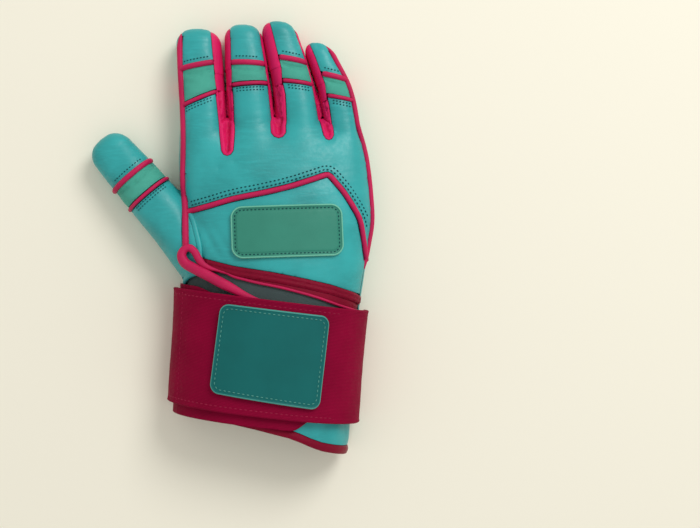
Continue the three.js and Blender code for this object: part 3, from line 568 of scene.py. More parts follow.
class GloveForm:
    """The whole glove as tubes that run together, plain as the solids are or smooth as the leather is.

    Attributes:
        on_wall: Distance from the plain wall under which a place counts as on it.
        reach: Greatest distance from the wall that a place keeps.
        rounds: Steps that settling takes.
        stride: Longest of these steps.
        least_square: Least square of the slope that they reckon with.
        probe: Distance over which the slope is measured.
        ceiling: A height over all of the glove.
        halvings: How often the search for the wall's height halves its range.
    """

    on_wall = 0.12
    reach = 12
    rounds = 5
    stride = 0.9
    least_square = 0.3
    probe = 0.05
    ceiling = 60.0
    halvings = 30

    def __init__(self) -> None:
        """Build the hand, the four fingers and the thumb."""
        rows = [(WRIST_END + HAND_RUN * a, c * HALF_PALM, h * HALF_PALM, d * HALF_HEIGHT,
                 lift * ROW_LIFT - PALM_SINK)
                for a, c, h, d, lift in HAND_ROWS]
        self.hand = Tube((0, 0), 0, HAND_SIDES, rows)
        self.fingers = [Digit.finger(size) for size in FINGERS]
        self.thumb = Digit.thumb()
        self.digits = {digit.name: digit for digit in [*self.fingers, self.thumb]}
        self.whole = [self.hand, *[d.tube for d in self.fingers], self.thumb.tube]

    def level(self, points: Points, tubes: Sequence[Tube], plain: bool, soft: float = 4.0) -> np.ndarray:
        """Distance from the wall of several tubes together.

        Args:
            points: Places in the frame.
            tubes: The tubes that count; the hand's comes first where it is one of them.
            plain: True for the flat-sided solids, which meet in sharp lines.
            soft: Width of the soft run of the hand into each digit.

        Returns:
            One distance for each place, below zero inside.
        """
        base = tubes[0].level(points, plain)
        best = base
        for tube in tubes[1:]:
            other = tube.level(points, plain)
            if plain:
                ledge = (np.abs(tube.local(points)[1] - tube.first) < 0.03) & (base > -0.02)
                other = np.where(ledge, np.maximum(other, 0), other)
            else:
                near = np.maximum(soft - np.abs(base - other), 0) / soft
                other = np.minimum(base, other) - near * near * soft / 4
            best = np.minimum(best, other)
        return best

    def webbed(self, points: Points) -> Points:
        """Carry the seams beside the finger walls from the plain model's lines to those of the worn glove.

        Args:
            points: Places in the frame.

        Returns:
            The places, moved in the plan.
        """
        moved = points.copy()
        y = points[:, 1]
        least, foot_run, foot_reach = 0.5, 4, 9
        for web in WEBS:
            rows = np.array(web.rows, float)
            one, two = self.fingers[web.left], self.fingers[web.left + 1]
            at, other = one.tube.station(y), two.tube.station(y)
            low = at[:, 0] + one.edges(y)[1] * at[:, 1]
            high = other[:, 0] + two.edges(y)[0] * other[:, 1]
            middle = (low + high) / 2
            low, high = np.minimum(low, middle - least), np.maximum(high, middle + least)
            steps = read(y, rows[:, 0], rows[:, 1:])
            share = np.clip((points[:, 0] - low) / (high - low), 0, 1)
            off = np.maximum(np.maximum(low - points[:, 0], points[:, 0] - high), 0) / WEB_FADE
            moved[:, 0] += mix(steps[:, 0], steps[:, 1], share) * np.clip(1 - off, 0, 1)
            x, foot, drop = web.foot
            near = np.exp(-(((y - foot) / foot_run) ** 2))
            near *= np.clip(1 - np.abs(points[:, 0] - x) / foot_reach, 0, 1)
            moved[:, 1] -= drop * near
        return moved

    def lifted(self, points: Points, outside: np.ndarray) -> Points:
        """Lay the step where a finger's root stands out of the hand down on the smooth form.

        Args:
            points: Places in the frame, of one panel.
            outside: Which of them are on its outside.

        Returns:
            The places, the step and what is just before it lifted straight up.
        """
        start = ROOT - 10
        chosen = outside & (points[:, 1] > start) & (points[:, 1] < ROOT + 0.02) & (points[:, 2] > UPPER)
        rise = self.height(points[chosen, :2])[:, 2] - points[chosen, 2]
        moved = points.copy()
        moved[chosen, 2] += rise * ramp(points[chosen, 1], start, 8)
        return moved

    def slope(self, points: Points, tubes: Sequence[Tube]) -> tuple[np.ndarray, np.ndarray]:
        """Smooth distance and its rise in each direction.

        Args:
            points: Places in the frame.
            tubes: The tubes that count.

        Returns:
            Level and its slope at each place.
        """
        value = self.level(points, tubes, False)
        rise = np.empty_like(points)
        for axis in range(3):
            shift = np.zeros(3)
            shift[axis] = self.probe
            change = self.level(points + shift, tubes, False) - self.level(points - shift, tubes, False)
            rise[:, axis] = change / (2 * self.probe)
        return value, rise

    def settle(self, points: Points, tubes: Sequence[Tube],
               start: Points) -> tuple[Points, np.ndarray, np.ndarray]:
        """Carry places of the flat-sided solids to the smooth form.

        Args:
            points: Places on or in a plain solid.
            tubes: The tubes that the solid was cut from.
            start: The same places, moved in the plan where a seam runs elsewhere.

        Returns:
            The places on the smooth form, their distance from its wall and the way out there.
        """
        target = self.level(points, tubes, True)
        target = np.where(np.abs(target) < self.on_wall, 0.0, np.clip(target, -self.reach, self.reach))
        moved = start.copy()
        for _ in range(self.rounds):
            value, rise = self.slope(moved, tubes)
            square = np.maximum((rise**2).sum(1), self.least_square)
            step = ((value - target) / square)[:, None] * rise
            size = np.linalg.norm(step, axis=1, keepdims=True)
            moved -= step * np.minimum(1, self.stride / np.maximum(size, 1e-9))
        return moved, target, self.out(moved, tubes)

    def height(self, plan: np.ndarray, offset: float = 0.0, tubes: Sequence[Tube] | None = None) -> Points:
        """Places on the upper wall above plan places.

        Args:
            plan: Plan places.
            offset: Distance out from the wall.
            tubes: The tubes that count, or None for all of them.

        Returns:
            The places in the frame.
        """
        tubes = tubes or self.whole
        low = np.full(len(plan), SEAM_LEVEL)
        high = np.full(len(plan), self.ceiling)
        for _ in range(self.halvings):
            middle = (low + high) / 2
            inside = self.level(np.column_stack([plan, middle]), tubes, False) < offset
            low = np.where(inside, middle, low)
            high = np.where(inside, high, middle)
        return np.column_stack([plan, (low + high) / 2])

    def out(self, points: Points, tubes: Sequence[Tube] | None = None) -> np.ndarray:
        """The way out of the wall at places near it."""
        return unit(self.slope(points, tubes or self.whole)[1])


def swell(points: Points, size: float, seed: int, squash: Three = (1, 1, 1)) -> np.ndarray:
    """A slow random rise and fall over places, between about -1 and 1.

    Args:
        points: Places in the frame.
        size: Usual distance from crest to crest.
        seed: Which pattern.
        squash: Weight of each direction.

    Returns:
        One value for each place.
    """
    rng = np.random.default_rng(seed)
    total = np.zeros(len(points))
    for _ in range(7):
        way = rng.normal(size=3)
        way *= np.array(squash) / np.linalg.norm(way)
        total += np.sin(points @ way * (2 * math.pi / size) * rng.uniform(0.6, 1.5) + rng.uniform(0, 6.28))
    return total / 3.2


# Finishes


def linear(red: int, green: int, blue: int) -> Shade:
    """A screen colour as the shader counts it.

    Args:
        red: Red, 0 to 255.
        green: Green.
        blue: Blue.

    Returns:
        The linear colour.
    """
    def one(value: float) -> float:
        """One channel of it."""
        share = value / 255
        return share / 12.92 if share <= 0.04045 else ((share + 0.055) / 1.055) ** 2.4
    return one(red), one(green), one(blue)


class Surface(Enum):
    """The kinds of surface that the glove has."""

    LEATHER = "leather"
    KNIT = "knit"
    WEBBING = "webbing"
    FUZZ = "fuzz"
    RUBBER = "rubber"
    THREAD = "thread"


@dataclass(frozen=True)
class Finish:
    """The look of one material.

    Attributes:
        name: Name of the material.
        surface: Kind of surface.
        colour: Main colour.
        deep: Darker colour, mixed in as painted shade in the folds and between yarns, and as the random worn
            tone.
        slot: The record's slot, if it has one; not used.
        roughness: Middle roughness.
        sheen: Weight of the fabric sheen.
        coat: Weight of the dressing on leather.
        relief: Depth of the fine relief, in millimetres.
        gloss: Specular level.
    """

    name: str
    surface: Surface
    colour: Shade
    deep: Shade
    slot: str | None = None
    roughness: float = 0.5
    sheen: float = 0.0
    coat: float = 0.0
    relief: float = 0.1
    gloss: float = 0.2


LEATHER = Finish("turquoise_leather", Surface.LEATHER, linear(46, 170, 171), linear(24, 120, 120),
                 "leather", 0.42, 0.0, 0.08, 0.10, 0.4)
MINT = Finish("mint_flex", Surface.KNIT, linear(80, 176, 156), linear(44, 134, 116),
              "flex_knit", 0.6, 0.06, 0, 0.10)
MAGENTA = Finish("magenta_knit", Surface.KNIT, linear(208, 20, 88), linear(128, 6, 50),
                 "stretch_knit", 0.5, 0.06, 0, 0.08, 0.3)
# The stretch knit painted brighter than the magenta as painted light, for finger walls and folds that sit in
# shade.
PAINTED_LIGHT_KNIT = Finish("bright_knit", Surface.KNIT, linear(236, 28, 106), linear(164, 10, 68),
              "stretch_knit", 0.5, 0.06, 0, 0.08, 0.25)
# A darker copy of the stretch knit for the binding, hem and slit facing: partly their own wine tone, partly
# painted shade of the glove's shaded lower part.
WINE_AND_SHADE = Finish("wine_binding", Surface.KNIT, linear(138, 5, 44), linear(92, 2, 26),
              "stretch_knit", 0.42, 0.02, 0, 0.08, 0.12)
GUSSET = Finish("grey_teal_knit", Surface.KNIT, linear(74, 90, 90), linear(46, 58, 58),
                "gusset_knit", 0.7, 0.06, 0, 0.12)
STRAP = Finish("strap_webbing", Surface.WEBBING, linear(148, 6, 54), linear(96, 2, 30),
               "elastic_webbing", 0.62, 0.015, 0, 0.14, 0.05)
PAD = Finish("hook_and_loop", Surface.FUZZ, linear(100, 14, 42), linear(54, 4, 22),
             "hook_and_loop", 0.95, 0.2, 0, 0.3)
DARK = Finish("dark_rubber", Surface.RUBBER, linear(20, 104, 102), linear(12, 80, 78),
              "dark_rubber", 0.46, 0, 0, 0.03, 0.15)
PALE = Finish("pale_rubber", Surface.RUBBER, linear(114, 192, 166), linear(76, 156, 132),
              "pale_rubber", 0.5, 0, 0, 0.03, 0.35)
FIELD = Finish("green_rubber", Surface.RUBBER, linear(52, 138, 118), linear(36, 112, 94),
               "pale_rubber", 0.52, 0, 0, 0.05, 0.35)
RIM = Finish("teal_rim_rubber", Surface.RUBBER, linear(70, 152, 142), linear(44, 120, 112),
             "dark_rubber", 0.44, 0, 0, 0.03, 0.35)
# Teal thread painted dark: the darkness is painted shade of the stitch holes it sinks into.
HOLE_SHADED_THREAD = Finish("teal_thread", Surface.THREAD, linear(10, 78, 84), linear(4, 40, 46),
                     None, 0.7, 0.04, 0, 0.05)
PALE_THREAD = Finish("pale_thread", Surface.THREAD, linear(92, 164, 152), linear(30, 96, 88),
                     None, 0.7, 0.1, 0, 0.05)
WINE_THREAD = Finish("wine_thread", Surface.THREAD, linear(166, 30, 70), linear(104, 8, 36),
                     None, 0.7, 0.1, 0, 0.05)


class Shading:
    """Adds nodes to one shader tree."""

    def __init__(self, tree: bpy.types.NodeTree) -> None:
        """Keep the tree."""
        self.tree = tree

    def add(self, kind: str, values: dict[str | int, object], **settings: object) -> bpy.types.Node:
        """A node of a kind.

        Args:
            kind: The kind's name after ShaderNode.
            values: A number, a row of numbers or a socket for each named input.
            settings: The node's own settings.

        Returns:
            The node.
        """
        node = self.tree.nodes.new(f"ShaderNode{kind}")
        for key, value in settings.items():
            setattr(node, key, value)
        for key, value in values.items():
            self.feed(node.inputs[key], value)
        return node

    def feed(self, socket: bpy.types.NodeSocket, value: object) -> None:
        """Link a socket to an input, or set its number.

        Args:
            socket: The socket.
            value: A value, or the socket that feeds it.
        """
        if isinstance(value, bpy.types.NodeSocket):
            self.tree.links.new(value, socket)
        else:
            socket.default_value = value

    def maths(self, kind: str, *values: object, clamp: bool = False) -> bpy.types.NodeSocket:
        """The outcome of a sum of sockets and numbers."""
        return self.add("Math", dict(enumerate(values)), operation=kind, use_clamp=clamp).outputs[0]

    def noise(self, place: bpy.types.NodeSocket, scale: object, detail: float,
              stretch: Three | None = None) -> bpy.types.NodeSocket:
        """A noise on a place, stretched if asked.

        Args:
            place: Where it is read.
            scale: Its scale.
            detail: Its detail.
            stretch: Weight of each direction, where it isn't even.

        Returns:
            The value's socket.
        """
        if stretch is not None:
            place = self.add("Mapping", {"Vector": place, "Scale": stretch}).outputs["Vector"]
        return self.add("TexNoise", {"Vector": place, "Scale": scale, "Detail": detail}).outputs["Fac"]

    def ranged(self, value: bpy.types.NodeSocket, start: tuple[float, float],
               end: tuple[float, float]) -> bpy.types.NodeSocket:
        """A value carried from one range to another."""
        keys = ("From Min", "From Max", "To Min", "To Max")
        return self.add("MapRange", {"Value": value, **dict(zip(keys, (*start, *end)))}).outputs["Result"]


class GroupTree(Shading):
    """A shared node group with a vector input named Place."""

    def __init__(self, name: str, inputs: dict[str, float], outputs: Iterable[str]) -> None:
        """Make the group and its sockets.

        Args:
            name: The group's name.
            inputs: Number inputs and their defaults.
            outputs: Names of the number outputs.
        """
        super().__init__(bpy.data.node_groups.new(name, "ShaderNodeTree"))
        face = self.tree.interface
        face.new_socket("Place", in_out="INPUT", socket_type="NodeSocketVector")
        for key, value in inputs.items():
            face.new_socket(key, in_out="INPUT", socket_type="NodeSocketFloat").default_value = value
        for key in outputs:
            face.new_socket(key, in_out="OUTPUT", socket_type="NodeSocketFloat")
        self.given = self.tree.nodes.new("NodeGroupInput").outputs
        self.result = self.tree.nodes.new("NodeGroupOutput").inputs


def creased() -> GroupTree:
    """Leather: pebbled grain, fine creases and slow swells.

    Returns:
        The group.
    """
    group = GroupTree("leather_grain", {"Grain": 1.0, "Crease": 1.0}, ["Height", "Fold"])
    place, maths = group.given["Place"], group.maths
    cells = group.add("TexVoronoi", {"Vector": place, "Scale": 1050}, feature="SMOOTH_F1").outputs["Distance"]
    fine = group.noise(place, 2300, 3)
    lines = group.noise(place, 1, 4, (95, 620, 300))
    where = group.noise(place, 42, 2)
    ridge = maths("MINIMUM", maths("MULTIPLY", maths("ABSOLUTE", maths("SUBTRACT", lines, 0.5)), 4.0), 1.0)
    patchy = maths("MULTIPLY", maths("SUBTRACT", where, 0.36), 2.8)
    patchy = maths("MAXIMUM", maths("MINIMUM", patchy, 1.0), 0.0)
    fold = maths("MULTIPLY", maths("MULTIPLY", maths("SUBTRACT", 1.0, ridge), patchy), group.given["Crease"])
    grain = maths("MULTIPLY", maths("MULTIPLY_ADD", fine, 0.5, cells), group.given["Grain"])
    group.feed(group.result["Height"], maths("MULTIPLY_ADD", fold, -0.9, grain))
    # The Fold mask also sets where the leather colour is painted darker as crease shade.
    group.feed(group.result["Fold"], fold)
    return group


def woven() -> GroupTree:
    """Knit and webbing: rows of yarn one way, broken by a finer row the other way.

    Returns:
        The group.
    """
    group = GroupTree("yarn_rows", {"Rows": 600.0, "Wales": 500.0, "Wobble": 1.0}, ["Height", "Gap"])
    given = group.given
    rows, wales = (
        group.add("TexWave", {"Vector": given["Place"], "Scale": given[key], "Distortion": given["Wobble"],
                              "Detail": 1, "Detail Scale": 3}, bands_direction=way).outputs["Fac"]
        for way, key in (("Y", "Rows"), ("X", "Wales")))
    both = group.maths("MULTIPLY_ADD", wales, 0.45, rows)
    fluff = group.noise(given["Place"], 2600, 2)
    group.feed(group.result["Height"], group.maths("MULTIPLY_ADD", fluff, 0.5, both))
    # The Gap mask also sets where the colour is painted darker as shade between the yarns.
    group.feed(group.result["Gap"], group.maths("SUBTRACT", 1.0, group.maths("MULTIPLY", both, 0.7)))
    return group


def mottled() -> GroupTree:
    """Slow change of tone from handling and wear.

    Returns:
        The group.
    """
    group = GroupTree("handled_tone", {"Size": 60.0}, ["Tone", "Speck"])
    group.feed(group.result["Tone"], group.noise(group.given["Place"], group.given["Size"], 3))
    group.feed(group.result["Speck"], group.noise(group.given["Place"], 520, 2))
    return group


class Wardrobe:
    """Makes each finish a material once.

    Attributes:
        yarns: Rows, wales and wobble of each woven surface.
        deep_shares: How much of the deeper colour the relief of each surface brings.
        tone_scale: Scale of the slow change of tone.
        bump: Strength of the relief.
        rough_spread: How far the roughness varies either way.
    """

    yarns = {Surface.KNIT: (720.0, 640.0, 1.5), Surface.WEBBING: (430.0, 560.0, 0.6),
             Surface.THREAD: (900.0, 900.0, 1.0)}
    # The relief's share of the deeper colour: painted shade in leather creases and between yarns, random tone
    # on fuzz and rubber.
    deep_shares = {Surface.LEATHER: 0.55, Surface.KNIT: 0.35, Surface.WEBBING: 0.5, Surface.THREAD: 0.35,
                   Surface.FUZZ: 0.5, Surface.RUBBER: 0.25}
    tone_scale = 55.0
    bump = 0.6
    rough_spread = 0.07

    def __init__(self, strap_lean: float) -> None:
        """Make the shared groups.

        Args:
            strap_lean: Turn of the webbing's weave from +X, in degrees.
        """
        self.creased, self.woven, self.mottled = creased(), woven(), mottled()
        self.strap_lean = strap_lean
        self.made: dict[str, bpy.types.Material] = {}

    def material(self, finish: Finish) -> bpy.types.Material:
        """The material of a finish.

        Args:
            finish: The finish.

        Returns:
            Its material.
        """
        if finish.name not in self.made:
            self.made[finish.name] = self._build(finish)
        return self.made[finish.name]

    def _build(self, finish: Finish) -> bpy.types.Material:
        """A new material for a finish.

        Args:
            finish: The look to build.

        Returns:
            The material.
        """
        material = bpy.data.materials.new(finish.name)
        material.use_nodes = True
        material.diffuse_color = (*finish.colour, 1)
        shade = Shading(material.node_tree)
        place = shade.add("TexCoord", {}).outputs["Object"]
        if finish.surface is Surface.WEBBING:
            turn = (0, 0, math.radians(-self.strap_lean))
            place = shade.add("Mapping", {"Vector": place, "Rotation": turn}).outputs["Vector"]
        tone = shade.add("Group", {}, node_tree=self.mottled.tree)
        shade.feed(tone.inputs["Place"], place)
        shade.feed(tone.inputs["Size"], self.tone_scale)
        height, depth = self._relief(shade, finish.surface, place)
        worn = shade.ranged(tone.outputs["Tone"], (0.35, 0.75), (0.0, 0.28))
        # Mixing towards the deeper colour by the relief's depth paints shade into the creases and between the
        # yarns; the worn tone adds random wear.
        share = shade.maths("MULTIPLY_ADD", depth, self.deep_shares[finish.surface], worn, clamp=True)
        blend = shade.add("Mix", {"Factor": share}, data_type="RGBA")
        sockets = (socket for socket in blend.inputs if socket.type == "RGBA")
        for socket, colour in zip(sockets, (finish.colour, finish.deep)):
            socket.default_value = (*colour, 1)
        bump = shade.add("Bump", {"Height": height, "Strength": self.bump, "Distance": finish.relief * MM})
        spread = (finish.roughness - self.rough_spread, finish.roughness + self.rough_spread)
        looks = {
            "Base Color": next(s for s in blend.outputs if s.type == "RGBA"),
            "Normal": bump.outputs["Normal"],
            "Roughness": shade.ranged(tone.outputs["Speck"], (0.3, 0.7), spread), "IOR": 1.45,
            "Specular IOR Level": finish.gloss, "Coat Weight": finish.coat, "Coat Roughness": 0.35,
            "Sheen Weight": finish.sheen, "Sheen Roughness": 0.5,
            "Sheen Tint": (*(min(1.0, 0.15 + value) for value in finish.colour), 1),
        }
        for key, value in looks.items():
            shade.feed(material.node_tree.nodes["Principled BSDF"].inputs[key], value)
        return material

    def _relief(self, shade: Shading, surface: Surface,
                place: bpy.types.NodeSocket) -> tuple[bpy.types.NodeSocket, bpy.types.NodeSocket]:
        """Height of the fine relief of a surface, and how deep in it each place is, which sets the painted
        shade in its creases and between its yarns and the random tone of fuzz and rubber.

        Args:
            shade: Adds the nodes.
            surface: The surface.
            place: Where it is read.

        Returns:
            The sockets of both.
        """
        if surface in (Surface.FUZZ, Surface.RUBBER):
            height = shade.noise(place, 1500 if surface is Surface.FUZZ else 1900, 4)
            return height, height
        if surface is Surface.LEATHER:
            group, values, low = self.creased, {"Grain": 0.55, "Crease": 0.8}, "Fold"
        else:
            group, low = self.woven, "Gap"
            values = dict(zip(("Rows", "Wales", "Wobble"), self.yarns[surface]))
        detail = shade.add("Group", {}, node_tree=group.tree)
        for key, value in {"Place": place, **values}.items():
            shade.feed(detail.inputs[key], value)
        return detail.outputs["Height"], detail.outputs[low]


# Making pieces


class Workshop:
    """Turns bmeshes into pieces of the glove that ride on the model's bodies.

    Attributes:
        fine: Distance between the fine cuts of a panel.
        bend: Two places along a digit, from its fold.
    """

    fine = 1.3
    coarse = 2.4
    bend = (-5.0, 2.5)

    def __init__(self, frame: dict, form: GloveForm, wardrobe: Wardrobe) -> None:
        """Keep what every sub-assembly needs.

        Args:
            frame: The loaded frame.
            form: The glove's form.
            wardrobe: The finishes.
        """
        self.nodes = frame["nodes"]
        self.bodies = frame["record"]["behaviour"]["bodies"]
        self.form = form
        self.wardrobe = wardrobe
        self.pitch = self.fine

    def body(self, node: str) -> str:
        """The body that a CAD node rides on."""
        return next(name for name, nodes in self.bodies.items() if node in nodes)

    def finish_piece(self, bm: bmesh.types.BMesh, name: str, finishes: Sequence[Finish], nodes: Sequence[str],
                     body: str | None = None) -> bpy.types.Object:
        """A piece from a bmesh in millimetres.

        Args:
            bm: The mesh, which is freed.
            name: Name of the piece.
            finishes: Its materials, in the order of its face indices.
            nodes: The CAD nodes that it stands for.
            body: The body that it rides on, or None to leave it on none.

        Returns:
            The new object.
        """
        bmesh.ops.scale(bm, vec=(MM, MM, MM), verts=bm.verts)
        for face in bm.faces:
            face.smooth = True
        mesh = bpy.data.meshes.new(name)
        bm.to_mesh(mesh)
        bm.free()
        for finish in finishes:
            mesh.materials.append(self.wardrobe.material(finish))
        piece = bpy.data.objects.new(name, mesh)
        bpy.context.scene.collection.objects.link(piece)
        if body is not None:
            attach(piece, body)
        if nodes:
            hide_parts(*nodes)
        log.info("%s: %d faces", name, len(mesh.polygons))
        return piece

    def cord(self, name: str, finish: Finish, points: Points, radius: float | np.ndarray,
             nodes: Sequence[str] = (), body: str | None = "hand", tubes: Sequence[Tube] | None = None,
             sides: int = 12, flat: float | np.ndarray = 1.0) -> bpy.types.Object:
        """A sewn-down cord or tape along places on the glove.

        Args:
            name: Name of the piece.
            finish: Its finish.
            points: Places along its middle.
            radius: Radius, the same all along or one for each place.
            nodes: The CAD nodes that it stands for.
            body: The body that it rides on, or None to leave it on none.
            tubes: The tubes that it lies on, or None for all of them.
            sides: Sides of its section.
            flat: Height of the section as a share of its width.

        Returns:
            The new object.
        """
        bm = bmesh.new()
        sweep(bm, points, self.form.out(points, tubes), radius, sides, flat)
        return self.finish_piece(bm, name, [finish], nodes, body)

    def thread(self, name: str, finish: Finish, rows: Iterable[tuple[Points, np.ndarray]], size: Three,
               body: str | None = "hand") -> bpy.types.Object:
        """Rows of stitches.

        Args:
            name: Name of the piece.
            finish: Its finish.
            rows: Places along each row, and the way up at each.
            size: Distance from stitch to stitch, width of the thread and share of the row that is thread.
            body: The body that they ride on, or None to leave them on none.

        Returns:
            The new object.
        """
        bm = bmesh.new()
        for points, ups in rows:
            stitches(bm, points, ups, *size)
        return self.finish_piece(bm, name, [finish], [], body)

    def hinge(self, piece: bpy.types.Object, digit: Digit) -> None:
        """Bake a piece's place into its mesh."""
        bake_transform(piece)


def finely_cut(bm: bmesh.types.BMesh, pitch: float, axes: Sequence[int] = (0, 1, 2)) -> None:
    """Cut a mesh by level planes, so that it can follow a curve.

    Args:
        bm: The mesh.
        pitch: Distance between planes.
        axes: The directions that the planes face.
    """
    for axis in axes:
        values = [vert.co[axis] for vert in bm.verts]
        place = (math.floor(min(values) / pitch) + 0.5) * pitch
        normal = Vector((0, 0, 0))
        normal[axis] = 1
        while place < max(values):
            bmesh.ops.bisect_plane(bm, geom=bm.verts[:] + bm.edges[:] + bm.faces[:], dist=1e-4,
                                   plane_co=normal * place, plane_no=normal)
            place += pitch


def places(bm: bmesh.types.BMesh) -> Points:
    """The places of a mesh's vertices."""
    return np.array([vert.co for vert in bm.verts], float).reshape(-1, 3)


def put(bm: bmesh.types.BMesh, points: Points) -> None:
    """Move a mesh's vertices to places."""
    for vert, point in zip(bm.verts, points):
        vert.co = point


class Sewn:
    """Panels cut from the form: each takes its outline from its CAD node and the smooth form's surface.

    Attributes:
        puff_run: Distance over which a panel's rise grows from its edge.
        pinch_run: Distance over which its edge is drawn in.
        deep_in: Distance that stands for places without an edge near.
        weld: Distance under which vertices are joined.
        by_plane: Distance under which a place lies on a cut plane.
        beside_plane: Distance under which it lies beside one.
    """

    puff_run = 3.0
    pinch_run = 0.9
    deep_in = 50.0
    weld = 0.03
    by_plane = 0.08
    beside_plane = 0.7

    def __init__(self, shop: Workshop) -> None:
        """Keep the workshop."""
        self.shop = shop
        self.form = shop.form

    def panel(self, node: str, finish: Finish, tubes: Sequence[Tube], puff: float = 0.35, pinch: float = 0.35,
              relief: Callable[[Points, np.ndarray], np.ndarray] | None = None,
              closing: Sequence[tuple[Digit, float, float]] = (), body: str | None = "",
              pitch: float | None = None, curls: Sequence[Digit] = (), groove: float = 0.0,
              even: bool = False, shape: Callable[[Points], Points] | None = None) -> bpy.types.Object:
        """One sewn panel.

        Args:
            node: The CAD node that it stands for.
            finish: Its finish.
            tubes: The tubes that its outside lies on.
            puff: Rise of the middle of the panel over its edges.
            pinch: How far its edges are drawn in by the seam.
            relief: More rise, from the place and the distance to the edge.
            closing: Cut planes that are closed up: a digit, the plane's place along it and a shift.
            body: The body that it rides on: an empty name for the node's own, None for none.
            pitch: Distance between the fine cuts.
            curls: Digits whose seams run elsewhere on the curled glove.
            groove: Depth of a fold down the middle of a narrow panel.
            even: True to even out a ragged edge.
            shape: Moves the panel's places in the plan, where its outline runs elsewhere.

        Returns:
            The piece.
        """
        bm = self._cut(node, pitch or self.shop.pitch)
        before = start = places(bm)
        for digit in curls:
            start = digit.curled(start)
        if shape is not None:
            start = shape(start)
        step = ledge = np.zeros(len(before), bool)
        if node == ROOTED:
            step, ledge = self._root_step(before, tubes)
            start = self.form.lifted(start, step | (self.form.level(before, tubes, True) > -SKIN))
        after, level, out = self.form.settle(before, tubes, start)
        if step.any():
            after[step], level[step], out[step] = start[step], 0, self.form.out(start[step], tubes)
        outer, rim = self._outside(bm, before, level, tubes)
        if even:
            after = self._evened(bm, after, rim)
        ledge = ledge & (level > -SKIN)
        free, outer = ~ledge, outer | ledge
        for digit, plane, _ in closing:
            beside = np.abs(digit.distance(before) - plane) < self.beside_plane
            free &= ~beside
            outer |= beside & (level > -SKIN)
        sewn = [index for index in rim if free[index]]
        self._sharpen(bm, np.isin(np.arange(len(before)), sewn))
        self._sharpen(bm, step)
        distance = self._from(sewn, after, outer)
        rise = puff * (1 - np.exp(-distance / self.puff_run))
        rise -= pinch * np.exp(-((distance / self.pinch_run) ** 2))
        if relief is not None:
            rise = rise + relief(after, distance)
        after = after + out * (rise * outer)[:, None]
        if groove:
            after = after - out * self._groove(sewn, after, out, groove)[:, None]
        for digit, plane, shift in closing:
            near = np.abs(digit.distance(before) - plane) < self.by_plane
            after[near, :2] += digit.along * shift
            self._sharpen(bm, near)
        after[:, 2] = np.where(before[:, 2] < 0.02, 0, np.maximum(after[:, 2], 0))
        put(bm, after)
        bmesh.ops.remove_doubles(bm, verts=bm.verts, dist=self.weld)
        owner = self.shop.body(node) if body == "" else body
        return self.shop.finish_piece(bm, f"sewn_{node}", [finish], [node], owner)

    def _cut(self, node: str, pitch: float) -> bmesh.types.BMesh:
        """A finely cut copy of a CAD node, in millimetres.

        Args:
            node: The CAD node.
            pitch: Distance between the cuts.

        Returns:
            The mesh.
        """
        bm = bmesh.new()
        bm.from_mesh(self.shop.nodes[node].data)
        bmesh.ops.scale(bm, vec=(1 / MM, 1 / MM, 1 / MM), verts=bm.verts)
        bmesh.ops.remove_doubles(bm, verts=bm.verts, dist=1e-3)
        bmesh.ops.dissolve_limit(bm, angle_limit=0.01, verts=bm.verts, edges=bm.edges)
        finely_cut(bm, pitch)
        bmesh.ops.triangulate(bm, faces=[face for face in bm.faces if len(face.verts) > 4])
        bmesh.ops.remove_doubles(bm, verts=bm.verts, dist=0.02)
        for edge in bm.edges:
            edge.smooth = True
        return bm

    def _root_step(self, points: Points, tubes: Sequence[Tube]) -> tuple[np.ndarray, np.ndarray]:
        """Find the step at the fingers' roots.

        Args:
            points: Places in the frame.
            tubes: The tubes of the panel.

        Returns:
            Which places are on it, and which beside it and away from the side seam.
        """
        upper = points[:, 2] > UPPER
        off = np.abs(points[:, 1] - ROOT)
        before = self.form.level(points - np.array([0, 0.02, 0]), tubes, True)
        return (off < 0.02) & upper & (before > -SKIN), (off < 0.7) & upper & (points[:, 0] > -47.5)

    @staticmethod
    def _sharpen(bm: bmesh.types.BMesh, chosen: np.ndarray) -> None:
        """Shade the edges between chosen vertices sharp."""
        for edge in bm.edges:
            edge.smooth = edge.smooth and not all(chosen[vert.index] for vert in edge.verts)

    def _outside(self, bm: bmesh.types.BMesh, points: Points, level: np.ndarray,
                 tubes: Sequence[Tube]) -> tuple[np.ndarray, list[int]]:
        """Which vertices are on the outside of a panel, and which of them on its edge.

        Args:
            bm: The mesh.
            points: Places of its vertices on the plain solid.
            level: Their distances from the wall.
            tubes: The tubes that the solid was cut from.

        Returns:
            A flag for each vertex, and the indices of the edge's vertices.
        """
        bm.verts.index_update()
        bm.faces.index_update()
        bm.normal_update()
        top = np.percentile(level, 99) if level.max() > 0.5 else 0.0
        high = level > top - 0.3
        middles = np.array([face.calc_center_median() for face in bm.faces])
        facing = (np.array([face.normal for face in bm.faces]) * self.form.out(middles, tubes)).sum(1) > 0.55
        whole = [facing[face.index] and all(high[v.index] for v in face.verts) for face in bm.faces]
        outer = np.zeros(len(points), bool)
        for face in bm.faces:
            if whole[face.index]:
                outer[[v.index for v in face.verts]] = True
        rim: set[int] = set()
        for edge in bm.edges:
            if len({whole[face.index] for face in edge.link_faces}) == 2:
                rim.update(v.index for v in edge.verts)
        return outer, sorted(rim)

    @staticmethod
    def _from(rim: Sequence[int], points: Points, counted: np.ndarray) -> np.ndarray:
        """Distance of each counted vertex from the nearest of the edge's vertices.

        Args:
            rim: Vertices of the rim.
            points: Places in the frame.
            counted: Which places count.

        Returns:
            One distance for each place.
        """
        if not rim:
            return np.full(len(points), Sewn.deep_in)
        tree = KDTree(len(rim))
        for index in rim:
            tree.insert(points[index], index)
        tree.balance()
        return np.array([tree.find(point)[2] if out else Sewn.deep_in for point, out in zip(points, counted)])

